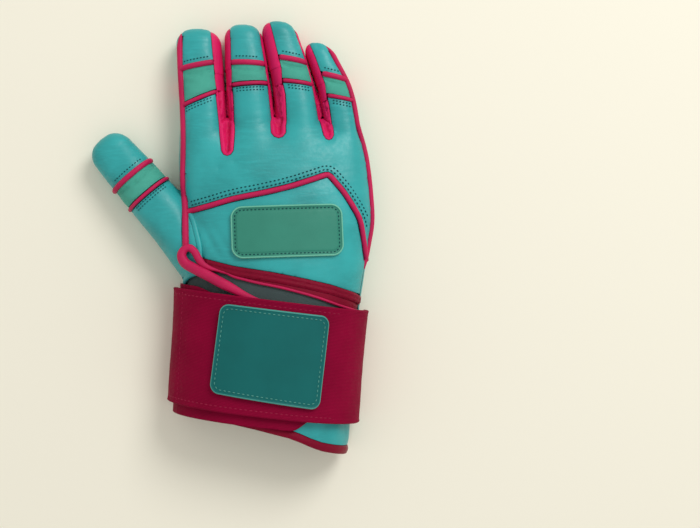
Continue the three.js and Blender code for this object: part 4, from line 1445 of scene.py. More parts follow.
    @staticmethod
    def _groove(rim: Sequence[int], points: Points, out: np.ndarray, depth: float) -> np.ndarray:
        """How far a narrow panel folds in, away from its edges and where it lies flat.

        Args:
            rim: The edge's vertices.
            points: Places of the vertices.
            out: The way out at each.
            depth: Depth of the fold.

        Returns:
            One distance for each vertex.
        """
        flat = points * np.array([1, 1, 0])
        away = Sewn._from(rim, flat, np.ones(len(points), bool))
        level = np.clip((out[:, 2] - 0.35) / 0.3, 0, 1)
        rows = np.arange(math.floor(points[:, 1].min()), points[:, 1].max() + 1)
        widest = [max([1.2, *away[(np.abs(points[:, 1] - row) < 1.5) & (level > 0.5)]]) for row in rows]
        smooth = np.convolve(np.pad(widest, 2, "edge"), np.full(5, 0.2), "valid")
        share = away / np.interp(points[:, 1], rows, smooth)
        ridge = 0.5 * np.exp(-(((share - 0.34) / 0.26) ** 2))
        return (depth * ramp(share, 0.52, 0.34) - ridge) * level

    @staticmethod
    def _evened(bm: bmesh.types.BMesh, points: Points, rim: Sequence[int]) -> Points:
        """Even out an edge that the plain solid's flat sides made ragged.

        Args:
            bm: The mesh.
            points: Places of its vertices.
            rim: The edge's vertices.

        Returns:
            The places, with the edge's vertices moved.
        """
        bm.verts.ensure_lookup_table()
        chosen = set(rim)
        beside = {index: [edge.other_vert(bm.verts[index]).index for edge in bm.verts[index].link_edges
                          if edge.other_vert(bm.verts[index]).index in chosen] for index in rim}
        loop = {index: near for index, near in beside.items() if len(near) == 2}
        pinned = set()
        for index, (a, b) in loop.items():
            for _ in range(3):
                a = next((k for k in loop.get(a, ()) if k not in (index, a)), a)
                b = next((k for k in loop.get(b, ()) if k not in (index, b)), b)
            one, two = points[a] - points[index], points[b] - points[index]
            size = np.linalg.norm(one) * np.linalg.norm(two)
            if size < 1e-9 or (one @ two) / size > -0.6:
                pinned.add(index)
        moved = points.copy()
        for _ in range(12):
            last = moved.copy()
            for index, (a, b) in loop.items():
                if index not in pinned:
                    moved[index] = last[index] * 0.5 + (last[a] + last[b]) * 0.25
        return moved


def sweep(bm: bmesh.types.BMesh, points: Points, ups: np.ndarray, radius: float | np.ndarray, sides: int,
          flat: float | np.ndarray) -> None:
    """Add a closed round cord along places.

    Args:
        bm: The mesh to add to.
        points: Places along the middle.
        ups: The way up at each place.
        radius: Radius, the same all along or one for each place.
        sides: Sides of the section.
        flat: Height of the section as a share of its width, the same all along or one for each place.
    """
    squat, sizes = np.broadcast_to(flat, len(points)), np.broadcast_to(radius, len(points))
    ring: list[bmesh.types.BMEdge] = []
    last = Matrix.Identity(4)
    for i, point in enumerate(points):
        way = Vector(points[min(i + 1, len(points) - 1)] - points[max(i - 1, 0)]).normalized()
        up = Vector(ups[i])
        side = way.cross(up).normalized()
        up = side.cross(way)
        r = float(sizes[i])
        turn = Matrix((side * r, up * r * float(squat[i]), -way * r)).transposed().to_4x4()
        turn.translation = Vector(point)
        if i == 0:
            made = bmesh.ops.create_circle(bm, cap_ends=False, segments=sides, radius=1, matrix=turn)
            ring = list({edge for vert in made["verts"] for edge in vert.link_edges})
            first = ring
        else:
            made = bmesh.ops.extrude_edge_only(bm, edges=ring)
            verts = [g for g in made["geom"] if isinstance(g, bmesh.types.BMVert)]
            ring = [g for g in made["geom"] if isinstance(g, bmesh.types.BMEdge)
                    and all(v in set(verts) for v in g.verts)]
            bmesh.ops.transform(bm, matrix=turn @ last.inverted(), verts=verts)
        last = turn
    for loop in (first, ring):
        bmesh.ops.edgeloop_fill(bm, edges=loop)
    bmesh.ops.recalc_face_normals(bm, faces=bm.faces)


def spaced(path: Points, gap: float, smooth: bool = True) -> Points:
    """A path of plan or space places, read at even steps.

    Args:
        path: The places.
        gap: Distance between steps.
        smooth: True for a curve through the places.

    Returns:
        The places at even steps, with both ends.
    """
    length = run_length(path)
    if smooth:
        path = eased(np.linspace(0, length[-1], max(40, len(path) * 12)), length, path)
        length = run_length(path)
    count = max(2, int(round(length[-1] / gap)) + 1)
    return read(np.linspace(0, length[-1], count), length, path)


def sideways(path: np.ndarray, distance: float) -> np.ndarray:
    """Plan places moved to the left of their own line.

    Args:
        path: The line.
        distance: How far to the left of its way.

    Returns:
        The moved line.
    """
    way = np.gradient(path, axis=0)
    way /= np.linalg.norm(way, axis=1, keepdims=True)
    return path + np.column_stack([-way[:, 1], way[:, 0]]) * distance


def stitches(bm: bmesh.types.BMesh, points: Points, ups: np.ndarray, length: float, width: float,
             share: float) -> None:
    """Add a row of thread stitches.

    Args:
        bm: The mesh to add to.
        points: Places along the row.
        ups: The way up at each place.
        length: Distance from one stitch to the next.
        width: Width of the thread.
        share: Share of the row that is thread.
    """
    steps = run_length(points)
    at = np.arange(length / 2, steps[-1], length)
    for middle, back, up in zip(read(at, steps, points), read(at - 0.3, steps, points), read(at, steps, ups)):
        way = Vector(middle - back).normalized()
        side = way.cross(Vector(up)).normalized()
        top = side.cross(way)
        turn = Matrix((side * width / 2, top * width * 0.45, -way * length * share / 2)).transposed().to_4x4()
        turn.translation = Vector(middle)
        bmesh.ops.create_uvsphere(bm, u_segments=6, v_segments=4, radius=1, matrix=turn)


# Sub-assemblies


CHEVRON = ((-0.93, 0.388), (-0.70, 0.445), (-0.452, 0.515), (-0.095, 0.589), (0.158, 0.652), (0.389, 0.728),
           (0.500, 0.767), (0.535, 0.776), (0.565, 0.760), (0.626, 0.692), (0.695, 0.612), (0.768, 0.506),
           (0.873, 0.326), (0.925, 0.084), (0.957, -0.105))
ROLL = ((-0.460, -0.249), (-0.570, -0.216), (-0.680, -0.184), (-0.748, -0.142), (-0.785, -0.090),
        (-0.822, -0.024), (-0.880, 0.020), (-0.935, -0.004), (-0.958, -0.060), (-0.935, -0.120),
        (-0.820, -0.196), (-0.687, -0.264), (-0.552, -0.336), (-0.418, -0.404), (-0.319, -0.460),
        (-0.218, -0.513), (-0.120, -0.555))


@dataclass
class SubAssembly:
    """What every sub-assembly of the glove shares: the workshop."""

    shop: Workshop

    @property
    def form(self) -> GloveForm:
        """The glove's form."""
        return self.shop.form

    @property
    def sewn(self) -> Sewn:
        """The maker of sewn panels."""
        return Sewn(self.shop)


@dataclass
class BackOfHand(SubAssembly):
    """Leather panels on the back of the hand, their pipings and stitches.

    Attributes:
        chevron_radius: Radius of the chevron piping.
        index_side_radius: Radius of the piping on the index side.
        little_side_radius: Radius of the piping on the little finger's side.
        little_inset: How far that piping lies in from the form's side.
        index_seam: The index side's seam, as places along and across the glove.
        corner: Line of the tape in the corner of the chevron.
        thumb_seam: Line where the thumb is set in.
        slit_seam: Line along the slit.
        welt_radius: Half width of the welts along these two.
        chevron_stitch: Length, width and thread share of the chevron's stitches.
        chevron_rows: Distances of its rows from the piping.
        folds: Both ends, the depth and the half width of each soft fold.
    """

    chevron_radius: float = 1.4
    index_side_radius: float = 1.7
    little_side_radius: float = 1.5
    little_inset: float = 1.0
    index_seam: Spots = (
        (-2, -46.3), (10, -46.6), (16, -46.8), (22, -47.15), (28, -47.7), (34, -48.15), (40, -48.25),
        (46, -48.15), (52, -48.05), (58, -48.0), (64, -48.1), (70, -48.3), (76, -48.55), (82, -48.95),
        (88, -49.3), (94, -49.71), (100, -49.99), (106, -50.2), (112, -49.9), (116, -49.3))
    corner: Spots = ((46.2, 17.0), (47.2, 9.0), (48.0, 2.0), (48.6, -5.0))
    thumb_seam: Spots = ((-45.8, 21.0), (-43.2, 15.9), (-41.1, 8.8), (-39.6, 2.6), (-39.1, -3.4),
                         (-39.1, -10.4))
    slit_seam: Spots = ((-38.6, -9.6), (-40.6, -11.8), (-44.2, -13.2), (-47.0, -15.4), (-48.0, -19.5),
                        (-48.3, -27.0))
    welt_radius: float = 1.5
    chevron_stitch: Three = (2.2, 0.8, 0.58)
    chevron_rows: tuple[float, float] = (2.85, 4.75)
    folds: tuple[tuple[float, ...], ...] = (
        (-38, 12, -27, -6, 0.8, 2.0), (-33, 13, -20, -7, 0.6, 2.4), (-20, 37, -8, 33, 0.25, 2.5),
        (18, 44, 30, 30, 0.35, 3.0))

    def build(self) -> None:
        """Make every piece of the sub-assembly."""
        sewn, form = self.sewn, self.form
        root = [(form.fingers[0], -49.2, 0.0)]
        sewn.panel(ROOTED, LEATHER, form.whole, 0.5, 0.12, self._leather_folds, root,
                   curls=form.fingers, shape=form.webbed)
        sewn.panel("lower_back_panel", LEATHER, form.whole, 0.5, 0.12, self._leather_folds, even=True)
        self._chevron()
        self._side_pipings()
        self._thumb_seam()
        self._corner_tape()

    def _thumb_seam(self) -> None:
        """The flat welts where the thumb is set into the back of the hand and along the slit."""
        for name, seam in (("thumb_seam_welt", self.thumb_seam), ("slit_seam_welt", self.slit_seam)):
            points = self.form.height(spaced(np.array(seam), 1.2), -0.3)
            self.shop.cord(name, LEATHER, points, self.welt_radius, flat=0.6)

    def _leather_folds(self, points: Points, distance: np.ndarray) -> np.ndarray:
        """Slow swells and soft folds of the back leather.

        Args:
            points: Places in the frame.
            distance: Distance of each from the edge.

        Returns:
            The rise at each.
        """
        rise = 0.22 * swell(points, 26, 3) + 0.07 * swell(points, 7, 5, (0.5, 1.6, 1))
        for *ends, deep, wide in self.folds:
            a, b = np.array(ends[:2]), np.array(ends[2:])
            run = b - a
            share = np.clip(((points[:, :2] - a) @ run) / (run @ run), 0, 1)
            off = np.linalg.norm(points[:, :2] - (a + share[:, None] * run), axis=1)
            rise -= deep * np.exp(-((off / wide) ** 2)) * np.sin(math.pi * np.clip(share, 0.02, 0.98)) ** 0.5
        return rise * (1 - np.exp(-distance / 2.5))

    def _chevron(self) -> None:
        """The chevron piping and its two rows of stitches."""
        form = self.form
        path = spaced(np.array(CHEVRON) * HALF_PALM, 1.2)
        self.shop.cord("chevron_piping_cord", MAGENTA, form.height(path, 0.15), self.chevron_radius,
                       ["chevron_piping"])
        rows = []
        for shift in self.chevron_rows:
            row = sideways(path[3:-3], shift)
            station = form.hand.station(row[:, 1])
            inside = row[:, 0] < station[:, 0] + station[:, 1] - 3.4
            line = form.height(row[: int(np.argmin(inside)) if not inside.all() else len(row)], 0.42)
            rows.append((line, form.out(line)))
        self.shop.thread("chevron_stitches", HOLE_SHADED_THREAD, rows, self.chevron_stitch)

    def _corner_tape(self) -> None:
        """A flat leather tape under the corner where the chevron meets the side piping."""
        points = self.form.height(spaced(np.array(self.corner), 1.2), -0.35)
        sizes = np.full(len(points), 2.1)
        sizes[:3], sizes[-3:] = (0.5, 1.1, 1.7), (1.7, 1.1, 0.5)
        self.shop.cord("corner_tape", LEATHER, points, sizes, flat=0.3)

    def edge_line(self, right: bool) -> np.ndarray:
        """Plan line of a side seam.

        Args:
            right: True for the little finger's side.

        Returns:
            Plan places from the wrist to the finger's end.
        """
        if not right:
            return spaced(np.array(self.index_seam, float)[:, ::-1], 2.0)[1:-1]
        form = self.form
        ys = np.linspace(-10.0, 108.6, 60)
        reach = []
        for tube in (form.hand, form.fingers[3].tube):
            station = tube.station(ys)
            reach.append(np.where((ys < tube.first) | (ys > tube.last), -FAR, station[:, 0] + station[:, 1]))
        near = np.maximum(4.0 - np.abs(reach[0] - reach[1]), 0) / 4.0
        return np.column_stack([np.maximum(reach[0], reach[1]) + near * near - self.little_inset, ys])

    def _side_pipings(self) -> None:
        """One cord down each side, from the tip of the finger to the wrist."""
        for right, name, radius in ((False, "index", self.index_side_radius),
                                    (True, "little", self.little_side_radius)):
            points = self.form.height(spaced(self.edge_line(right), 1.5))
            sizes = np.full(len(points), radius)
            sizes[-5:] = radius * np.array([0.92, 0.8, 0.66, 0.5, 0.3])
            if right:
                sizes[:5] = radius * np.array([0.35, 0.55, 0.7, 0.84, 0.94])
            nodes = [f"{name}_side_piping", f"{name}_tip_side_piping"]
            cord = self.shop.cord(f"{name}_side_cord", MAGENTA, points, sizes, nodes, None)
            self.shop.hinge(cord, self.form.digits[name])


@dataclass
class Fingers(SubAssembly):
    """The digits: backs, inserts, walls, folds, fronts and cross pipings.

    Attributes:
        walls: Name, the finger on the left and the depth of the fold of each wall of the hand.
        tip_clear: Distance of the tip's cut from the fold.
        gap: Gap between fold piece and neighbours.
        lower_radius: Radius of the lower cross piping.
        upper_radius: Radius of the upper cross piping.
        stitch: Length, width and thread share of the stitches.
    """

    walls: tuple[tuple[str, int, float], ...] = (("index_middle", 0, 3.0), ("middle_ring", 1, 2.4),
                                                 ("ring_little", 2, 1.4))
    tip_clear: float = 2.8
    gap: float = 0.3
    lower_radius: float = 1.0
    upper_radius: float = 1.45
    stitch: Three = (1.8, 0.62, 0.58)

    def build(self) -> None:
        """Make the finger walls of the hand and then each digit."""
        form = self.form
        for name, left, depth in self.walls:
            closing = [(finger, -BASE_CLEAR, 0.25) for finger in form.fingers[left:left + 2]]
            # The finger walls take the knit painted brighter as painted light.
            self.sewn.panel(f"{name}_fourchette", PAINTED_LIGHT_KNIT, form.whole, 0.4, 0.15, None, closing, pitch=0.8,
                            groove=depth, shape=form.webbed)
        for digit in form.digits.values():
            self._digit(digit)

    def _digit(self, digit: Digit) -> None:
        """Every piece of one digit.

        Args:
            digit: The digit.
        """
        shop, sewn, name = self.shop, self.sewn, digit.name
        own, whole = [digit.tube], self.form.whole
        thumb = digit.size is None
        fine = 1.0
        tip = [(digit, self.tip_clear, -0.25)]
        cuts = [(digit, -BASE_CLEAR + self.gap, 0.0), (digit, self.tip_clear - self.gap, 0.0)]
        back = sewn.panel(f"{name}_tip_back", LEATHER, own, 0.45, 0.12, self._tip_folds, body=None,
                          pitch=fine, curls=[digit])
        shop.hinge(back, digit)
        sewn.panel(f"{name}_tip_front", LEATHER, own, 0.3, 0.3, None, tip if thumb else (), pitch=fine)
        insert = sewn.panel(f"{name}_flex_insert", MINT, whole if thumb else own, 0.35, 0.2,
                            self._knit_folds(digit), body=None, pitch=fine, curls=[digit])
        shop.hinge(insert, digit)
        # A finger's fold, like its tip walls, takes the knit painted brighter as painted light.
        finish = LEATHER if thumb else PAINTED_LIGHT_KNIT
        shop.hinge(sewn.panel(f"{name}_fold", finish, whole, 0.05, 0.3, None, cuts, None, fine), digit)
        for side in ("left", "right"):
            node = f"{name}_tip_{side}_wall"
            if node in shop.nodes:
                sewn.panel(node, PAINTED_LIGHT_KNIT, own, 0.36, 0.12, None, tip, pitch=fine)
        self._cross(digit, True)
        self._cross(digit, False)

    @staticmethod
    def _tip_folds(points: Points, distance: np.ndarray) -> np.ndarray:
        """Slight swells of the tip's leather."""
        return 0.12 * swell(points, 14, 11) * (1 - np.exp(-distance / 2))

    @staticmethod
    def _knit_folds(digit: Digit) -> Callable[[Points, np.ndarray], np.ndarray]:
        """Soft cross folds of an insert, with a deeper one under the upper piping.

        Args:
            digit: The digit.

        Returns:
            The function that gives the rise at each place.
        """
        def folds(points: Points, distance: np.ndarray) -> np.ndarray:
            """Rise at each place.

            Args:
                points: Places in the frame.
                distance: Distance of each from the edge.

            Returns:
                The rise at each.
            """
            flat = (points[:, :2] - digit.fold) @ digit.across / digit.half
            below = mix(*digit.ends(False), (flat + 1) / 2) - digit.distance(points)
            deep = np.exp(-(((below - 3.4 - 0.9 * np.cos(flat * 2.4)) / 1.05) ** 2))
            soft = 0.22 * swell(points, 7, 21, (0.4, 1.6, 1)) + 0.1 * swell(points, 4, 23)
            return (soft - 1.3 * deep) * (1 - np.exp(-distance / 1.2))
        return folds

    def _cross(self, digit: Digit, low: bool) -> None:
        """A cross piping with its stitches.

        Args:
            digit: The digit that it crosses.
            low: True for the lower of its two pipings.
        """
        form, own = self.form, [digit.tube]
        name = f"{digit.name}_{'lower' if low else 'upper'}"
        body = "hand" if low else None
        points = form.height(self._across(digit, digit.ends(low), 0.0), 0.1, own)
        if digit.size is None:
            down = [self._down(digit.tube, point) for point in points[[0, -1]]]
            points = spaced(np.vstack([down[0][::-1], points, down[1]]), 0.9, False)
        sizes = np.full(len(points), self.lower_radius if low else self.upper_radius)
        sizes[[0, -1]] *= 0.8
        cord = self.shop.cord(f"{name}_cord", MAGENTA, points, sizes, [f"{name}_piping"], body, own)
        lines = [form.height(self._across(digit, digit.ends(low), shift)[2:-2], 0.42, own)
                 for shift in ((-2.2, -3.7) if low else (3.3,))]
        rows = [(line, form.out(line, own)) for line in lines]
        sewn = self.shop.thread(f"{name}_stitches", HOLE_SHADED_THREAD, rows, self.stitch, body)
        if not low:
            self.shop.hinge(cord, digit)
            self.shop.hinge(sewn, digit)

    @staticmethod
    def _down(tube: Tube, end: np.ndarray) -> Points:
        """Places from a cord's end on a digit's back down its side to the seam.

        Args:
            tube: The digit's tube.
            end: Where the cord ends on the back.

        Returns:
            The places below that end, from the top.
        """
        across, along = tube.local(end[None])
        row = tube.station(along)[0]
        share = (across[0] - row[0]) / row[1]
        turn = math.acos(math.copysign(min(abs(share), 1.0) ** (CROWN_POWER / 2), share))
        count, end = 9, 0.05
        turns = np.linspace(turn, end if share > 0 else math.pi - end, count + 1)[1:]
        return tube.section(turns, np.full(count, along[0]), np.full(count, 0.1))

    @staticmethod
    def _across(digit: Digit, ends: tuple[float, float], shift: float) -> np.ndarray:
        """Plan line across a digit's back strip.

        Args:
            digit: The digit.
            ends: Places of the line's two ends along the digit.
            shift: Distance from that line, towards the tip.

        Returns:
            Plan places at even steps.
        """
        shares = np.linspace(-0.98, 0.98, 60)
        path = np.array([digit.spot(share * digit.half, mix(*ends, (share + 1) / 2)) for share in shares])
        path = sideways(path, shift)
        left, right = digit.edges(path[:, 1])
        share = digit.strip_share(path)
        return spaced(path[(share > np.maximum(left, -0.9)) & (share < np.minimum(right, 0.92))], 0.9)


@dataclass
class PalmAndThumb(SubAssembly):
    """The palm leather and the back of the thumb."""

    def build(self) -> None:
        """Make every piece of the sub-assembly."""
        whole = self.form.whole
        closing = [(self.form.thumb, -BASE_CLEAR, 0.25)]
        self.sewn.panel("palm_panel", LEATHER, whole, 0.3, 0.12, self._palm_folds, closing, even=True)
        self.sewn.panel("thumb_back_panel", LEATHER, whole, 0.4, 0.12, self._palm_folds, even=True)

    @staticmethod
    def _palm_folds(points: Points, distance: np.ndarray) -> np.ndarray:
        """Slow swells of the palm leather."""
        return 0.2 * swell(points, 22, 31) * (1 - np.exp(-distance / 2.5))


@dataclass
class StrapFrame:
    """Where the strap lies round the wrist: s runs along it from its free end, v across it.

    Attributes:
        centre: Plan place of the strap's middle.
        lean: Turn of the strap from +X, in degrees.
        width: Width of the webbing.
        inside: Distance of its inner face from the cuff.
        thickness: Thickness of the webbing.
        end_level: Height of the free end.
        side_level: Height of the sewn end on the little finger's side.
        hinge: Distance of the peel line from the middle; not used.
    """

    form: GloveForm
    centre: tuple[float, float] = (-4.1, -55.5)
    lean: float = -7.1
    width: float = 59.5
    inside: float = 2.6
    thickness: float = 2.6
    end_level: float = 15.0
    side_level: float = 6.0
    hinge: float = 41.0
    table: np.ndarray = field(init=False)

    def __post_init__(self) -> None:
        """Measure the strap's run round the wrist at its middle."""
        count = 700
        start, end = 1.05 * math.pi, -0.3 * math.pi
        turns = np.linspace(start, end, count)
        points = self._at(turns, np.zeros(count), np.full(count, self.inside + self.thickness))
        left = np.argmax(points[:, 2] > self.end_level)
        low = np.nonzero(points[:, 2] < self.side_level)[0]
        part = slice(left, low[low > count // 2][0])
        self.table = np.column_stack([run_length(points[part]), turns[part]])

    @property
    def way(self) -> np.ndarray:
        """Plan direction along the strap, from the thumb's side."""
        lean = math.radians(self.lean)
        return np.array([math.cos(lean), math.sin(lean)])

    @property
    def length(self) -> float:
        """Length of the strap along its middle."""
        return float(self.table[-1, 0])

    def _at(self, turn: np.ndarray, v: np.ndarray, offset: np.ndarray) -> Points:
        """Places on the wrist by angle, distance across the strap and distance from the cuff.

        Args:
            turn: Turns round the wrist.
            v: Distances across the strap.
            offset: Distances from the cuff.

        Returns:
            Places in the frame.
        """
        cos, sin = self.way
        y = np.full(len(turn), self.centre[1])
        points = np.zeros((len(turn), 3))
        for _ in range(6):
            points = self.form.hand.section(turn, y, offset)
            y = self.centre[1] + (v + (points[:, 0] - self.centre[0]) * sin) / cos
        return points

    def world(self, s: np.ndarray, v: np.ndarray, offset: np.ndarray) -> Points:
        """Places by distance along and across the strap and distance out from the cuff."""
        return self._at(np.interp(s, self.table[:, 0], self.table[:, 1]), v, offset)

    def along(self, u: float) -> float:
        """Distance along the strap of a plan distance from its middle.

        Args:
            u: Plan distance from the strap's middle.

        Returns:
            Distance from the free end.
        """
        count = 500
        s = np.linspace(0, self.length, count)
        points = self.world(s, np.zeros(count), np.full(count, self.inside + self.thickness))
        return float(s[np.argmin(np.abs((points[:, :2] - np.array(self.centre)) @ self.way - u))])


@dataclass
class Wrist(SubAssembly):
    """Binding, gusset, cuff, hem, inner band and the rolled binding.

    Attributes:
        wrap: Where the strap lies.
        arch_radius: Radius of the rolled binding where it arches.
        roll_radius: Its radius where it is rolled.
        slit_radius: Radius of the slit's thin binding.
        slit_edge: Line of that binding.
        facing: Width of the facing above it at places across the glove.
        band_reach: How far the inner band reaches down from the strap's middle.
        hem_sway: How far the hem moves along the glove at places across it.
    """

    wrap: StrapFrame
    arch_radius: float = 1.95
    roll_radius: float = 2.7
    slit_radius: float = 0.72
    slit_edge: Spots = ((-27.5, -9.6), (-23.5, -12.9), (-15.0, -15.6), (5.0, -20.0), (22.0, -24.8),
                        (34.0, -29.2), (43.0, -32.2))
    facing: Spots = ((-23, 0.4), (-13, 1.5), (-1, 2.3), (15, 3.7), (29, 5.0), (38, 4.6), (43, 3.4))
    band_reach: float = 33.8
    hem_sway: Spots = ((-45, 0.8), (-38, 1.1), (-25, 2.2), (-9, 2.6), (6.5, 2.3), (13, 1.3), (18, 0.1),
                       (24, -0.9), (30, -1.1), (45, -1.4))

    def build(self) -> None:
        """Make every piece of the sub-assembly."""
        sewn, hand = self.sewn, [self.form.hand]
        # The binding and hem take the darker knit, which is partly painted shade.
        sewn.panel("wrist_edge_binding", WINE_AND_SHADE, self.form.whole, 0.0, 0.12, self._double_ridge, pitch=0.8,
                   shape=self._past_the_side)
        sewn.panel("slit_gusset", GUSSET, hand, 0.2, 0.15, self._gusset_folds)
        sewn.panel("cuff_panel", LEATHER, hand, 0.4, 0.15, self._gusset_folds, shape=self._swayed)
        sewn.panel("cuff_hem_binding", WINE_AND_SHADE, hand, 0.9, 0.2, None, pitch=1.0, shape=self._swayed)
        sewn.panel("wrist_band", STRAP, hand, 0.2, 0.4, None, shape=self._under_the_strap)
        sewn.panel("loop_pad", PAD, hand, 0.0, 0.2, None)
        self._roll()
        self._slit_edge()

    @staticmethod
    def _past_the_side(points: Points) -> Points:
        """Carry the binding's end round the glove's little finger side.

        Args:
            points: Places in the frame.

        Returns:
            The moved places.
        """
        start, run, across, down = 34, 9, 4.0, 1.3
        moved = points.copy()
        moved[:, 0] += across * ramp(points[:, 0], start, run)
        moved[:, 1] -= down * np.clip((points[:, 0] - start) / run, 0, 1) ** 2
        return moved

    def _swayed(self, points: Points) -> Points:
        """Carry the cuff's low edge along its soft curve.

        Args:
            points: Places in the frame.

        Returns:
            The moved places.
        """
        start, run = -62, 18
        moved = points.copy()
        sway = np.interp(points[:, 0], *np.array(self.hem_sway).T)
        moved[:, 1] += sway * np.clip((start - points[:, 1]) / run, 0, 1)
        return moved

    def _under_the_strap(self, points: Points) -> Points:
        """Draw the inner band's outline in under the strap on its far side, and out at the free end.

        Args:
            points: Places in the frame.

        Returns:
            The moved places.
        """
        wrap = self.wrap
        along, across = wrap.way, np.array([-wrap.way[1], wrap.way[0]])
        flat = points[:, :2] - np.array(wrap.centre)
        u, v = flat @ along, flat @ across
        hidden, drawn_in, let_out = 0.9, 7.5, 3.0
        top = wrap.width / 2 - hidden
        low = -self.band_reach + drawn_in * ramp(u, 16, 13)
        high = top + let_out * ramp(-u, 28, 14)
        v = low + (v + self.band_reach) * (high - low) / (top + self.band_reach)
        moved = points.copy()
        moved[:, :2] = np.array(wrap.centre) + np.outer(u, along) + np.outer(v, across)
        return moved

    @staticmethod
    def _double_ridge(points: Points, distance: np.ndarray) -> np.ndarray:
        """Two rounded ridges along the binding."""
        return 0.75 * np.sin(math.pi * np.clip(distance, 0, 2.5) / 2.5) ** 2

    @staticmethod
    def _gusset_folds(points: Points, distance: np.ndarray) -> np.ndarray:
        """Soft folds of the stretch parts."""
        return 0.25 * swell(points, 12, 41) * (1 - np.exp(-distance / 2))

    def _roll(self) -> None:
        """The rolled binding: it arches over the side seam's end and is drawn in under the strap."""
        path = spaced(np.array(ROLL) * HALF_PALM, 1.0)
        steps = np.linspace(0, 1, len(path))
        fuller, under = ramp(steps, 0.32, 0.12), ramp(steps, 0.71, 0.17)
        sizes = mix(self.arch_radius, self.roll_radius, fuller) * (1 - 0.3 * under)
        sizes *= np.interp(steps, [0, 0.1, 0.2], [0.37, 0.45, 1])
        lift = 1.9 + 1.1 * fuller - 1.75 * under + np.interp(steps, [0, 0.16], [-1.5, 0])
        points = np.vstack([self.form.height(p[None], h) for p, h in zip(path, lift)])
        self.shop.cord("slit_roll_cord", MAGENTA, points, sizes, ["slit_roll_binding"], sides=16,
                       flat=0.95 - 0.4 * under)

    def _slit_edge(self) -> None:
        """The thin binding of the slit's lower edge, which runs in under the strap, and its facing."""
        hand = [self.form.hand]
        edge = np.array(self.slit_edge)
        line = self.form.height(spaced(edge, 1.2), 0.45, hand)
        self.shop.cord("slit_edge_cord", MAGENTA, line, self.slit_radius, tubes=hand)
        path = spaced(edge[1:], 1.2)
        gap = np.interp(path[:, 0], *np.array(self.facing).T)
        path[:, 1] += gap / 2
        middle = self.form.height(path, 0.1, hand)
        # The facing takes the same darker knit, partly painted shade.
        self.shop.cord("slit_facing", WINE_AND_SHADE, middle, gap / 2 + 0.5, tubes=hand, flat=0.16)


@dataclass
class WristStrap(SubAssembly):
    """The wide webbing strap that peels open, and its sewn root.

    Attributes:
        wrap: Where the strap lies.
        hem: Width of the hems along both edges.
        end_hem: Width of the turned free end.
        stitch: Length, width and thread share of the stitches.
        unsewn: Length at the root without stitches.
        bend: Half length of the stretch that bends when the strap is peeled; not used.
        bend_level: Height of that stretch's two ends; not used.
    """

    wrap: StrapFrame
    hem: float = 3.0
    end_hem: float = 13.6
    stitch: Three = (2.6, 0.62, 0.68)
    unsewn: float = 36.0
    bend: float = 4.5
    bend_level: float = 33.0

    def build(self) -> None:
        """Make the strap and its stitches."""
        self._webbing()
        self._stitches()

    def _surface(self, s: np.ndarray, v: np.ndarray) -> np.ndarray:
        """Rise of the webbing's outer face: hems, the turned end and slow waves.

        Args:
            s: Distances along the strap.
            v: Distances across it.

        Returns:
            The rise at each.
        """
        half = self.wrap.width / 2
        side = half - np.abs(v)
        rise = 0.3 * (1 / (1 + np.exp((side - self.hem) * 4)))
        rise = rise + 0.3 / (1 + np.exp((s - self.end_hem) * 3.5))
        for off in (side - self.hem, s - self.end_hem):
            rise -= 0.34 * np.exp(-((off / 0.6) ** 2))
        rise -= 0.2 * np.exp(-(((side - 0.45 * self.hem) / 0.4) ** 2))
        flat = np.column_stack([s, v, np.zeros(len(s))])
        return rise + 0.18 * swell(flat, 34, 51, (1, 0.7, 1)) + 0.05 * swell(flat, 9, 53)

    def _webbing(self) -> None:
        """One continuous length of webbing round the wrist."""
        wrap, pitch = self.wrap, self.shop.pitch
        length, width = wrap.length, wrap.width
        bm = bmesh.new()
        bmesh.ops.create_grid(bm, x_segments=int(length / pitch), y_segments=int(width / pitch), size=0.5)
        bmesh.ops.scale(bm, vec=(length, width, 1), verts=bm.verts)
        bmesh.ops.translate(bm, vec=(length / 2, 0, wrap.thickness), verts=bm.verts)
        made = bmesh.ops.extrude_face_region(bm, geom=bm.faces[:], use_keep_orig=True)
        verts = [g for g in made["geom"] if isinstance(g, bmesh.types.BMVert)]
        bmesh.ops.translate(bm, vec=(0, 0, -wrap.thickness), verts=verts)
        bmesh.ops.recalc_face_normals(bm, faces=bm.faces)
        rims = [e for e in bm.edges if len(e.link_faces) == 2 and e.calc_face_angle(0) > 1]
        bmesh.ops.bevel(bm, geom=rims, offset=0.8, offset_type="OFFSET", segments=3, profile=0.5,
                        affect="EDGES", material=-1)
        flat = places(bm)
        s, v, h = flat[:, 0], flat[:, 1], flat[:, 2]
        raised = h + self._surface(s, v) * np.clip(h / wrap.thickness, 0, 1)
        put(bm, wrap.world(s, v, wrap.inside + raised))
        bmesh.ops.recalc_face_normals(bm, faces=bm.faces)
        strap = self.shop.finish_piece(bm, "wrist_strap_webbing", [STRAP], ["wrist_strap", "strap_root"])
        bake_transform(strap)

    def _stitches(self) -> None:
        """Rows along both hems and across the free end, on the part that peels."""
        wrap = self.wrap
        half = wrap.width / 2
        inset, count = 1.5, 80
        s = np.linspace(inset, wrap.length - self.unsewn, 2 * count)
        v = np.linspace(-half + inset, half - inset, count)
        lines = [(s, np.full(len(s), half - self.hem)), (s, np.full(len(s), self.hem - half)),
                 (np.full(count, self.end_hem), v)]
        rows = []
        for s, v in lines:
            level = wrap.inside + wrap.thickness + self._surface(s, v)
            low = wrap.world(s, v, level)
            ups = wrap.world(s, v, level + 1) - low
            rows.append((low + ups * 0.08, ups))
        self.shop.thread("strap_stitches", WINE_THREAD, rows, self.stitch, "strap")


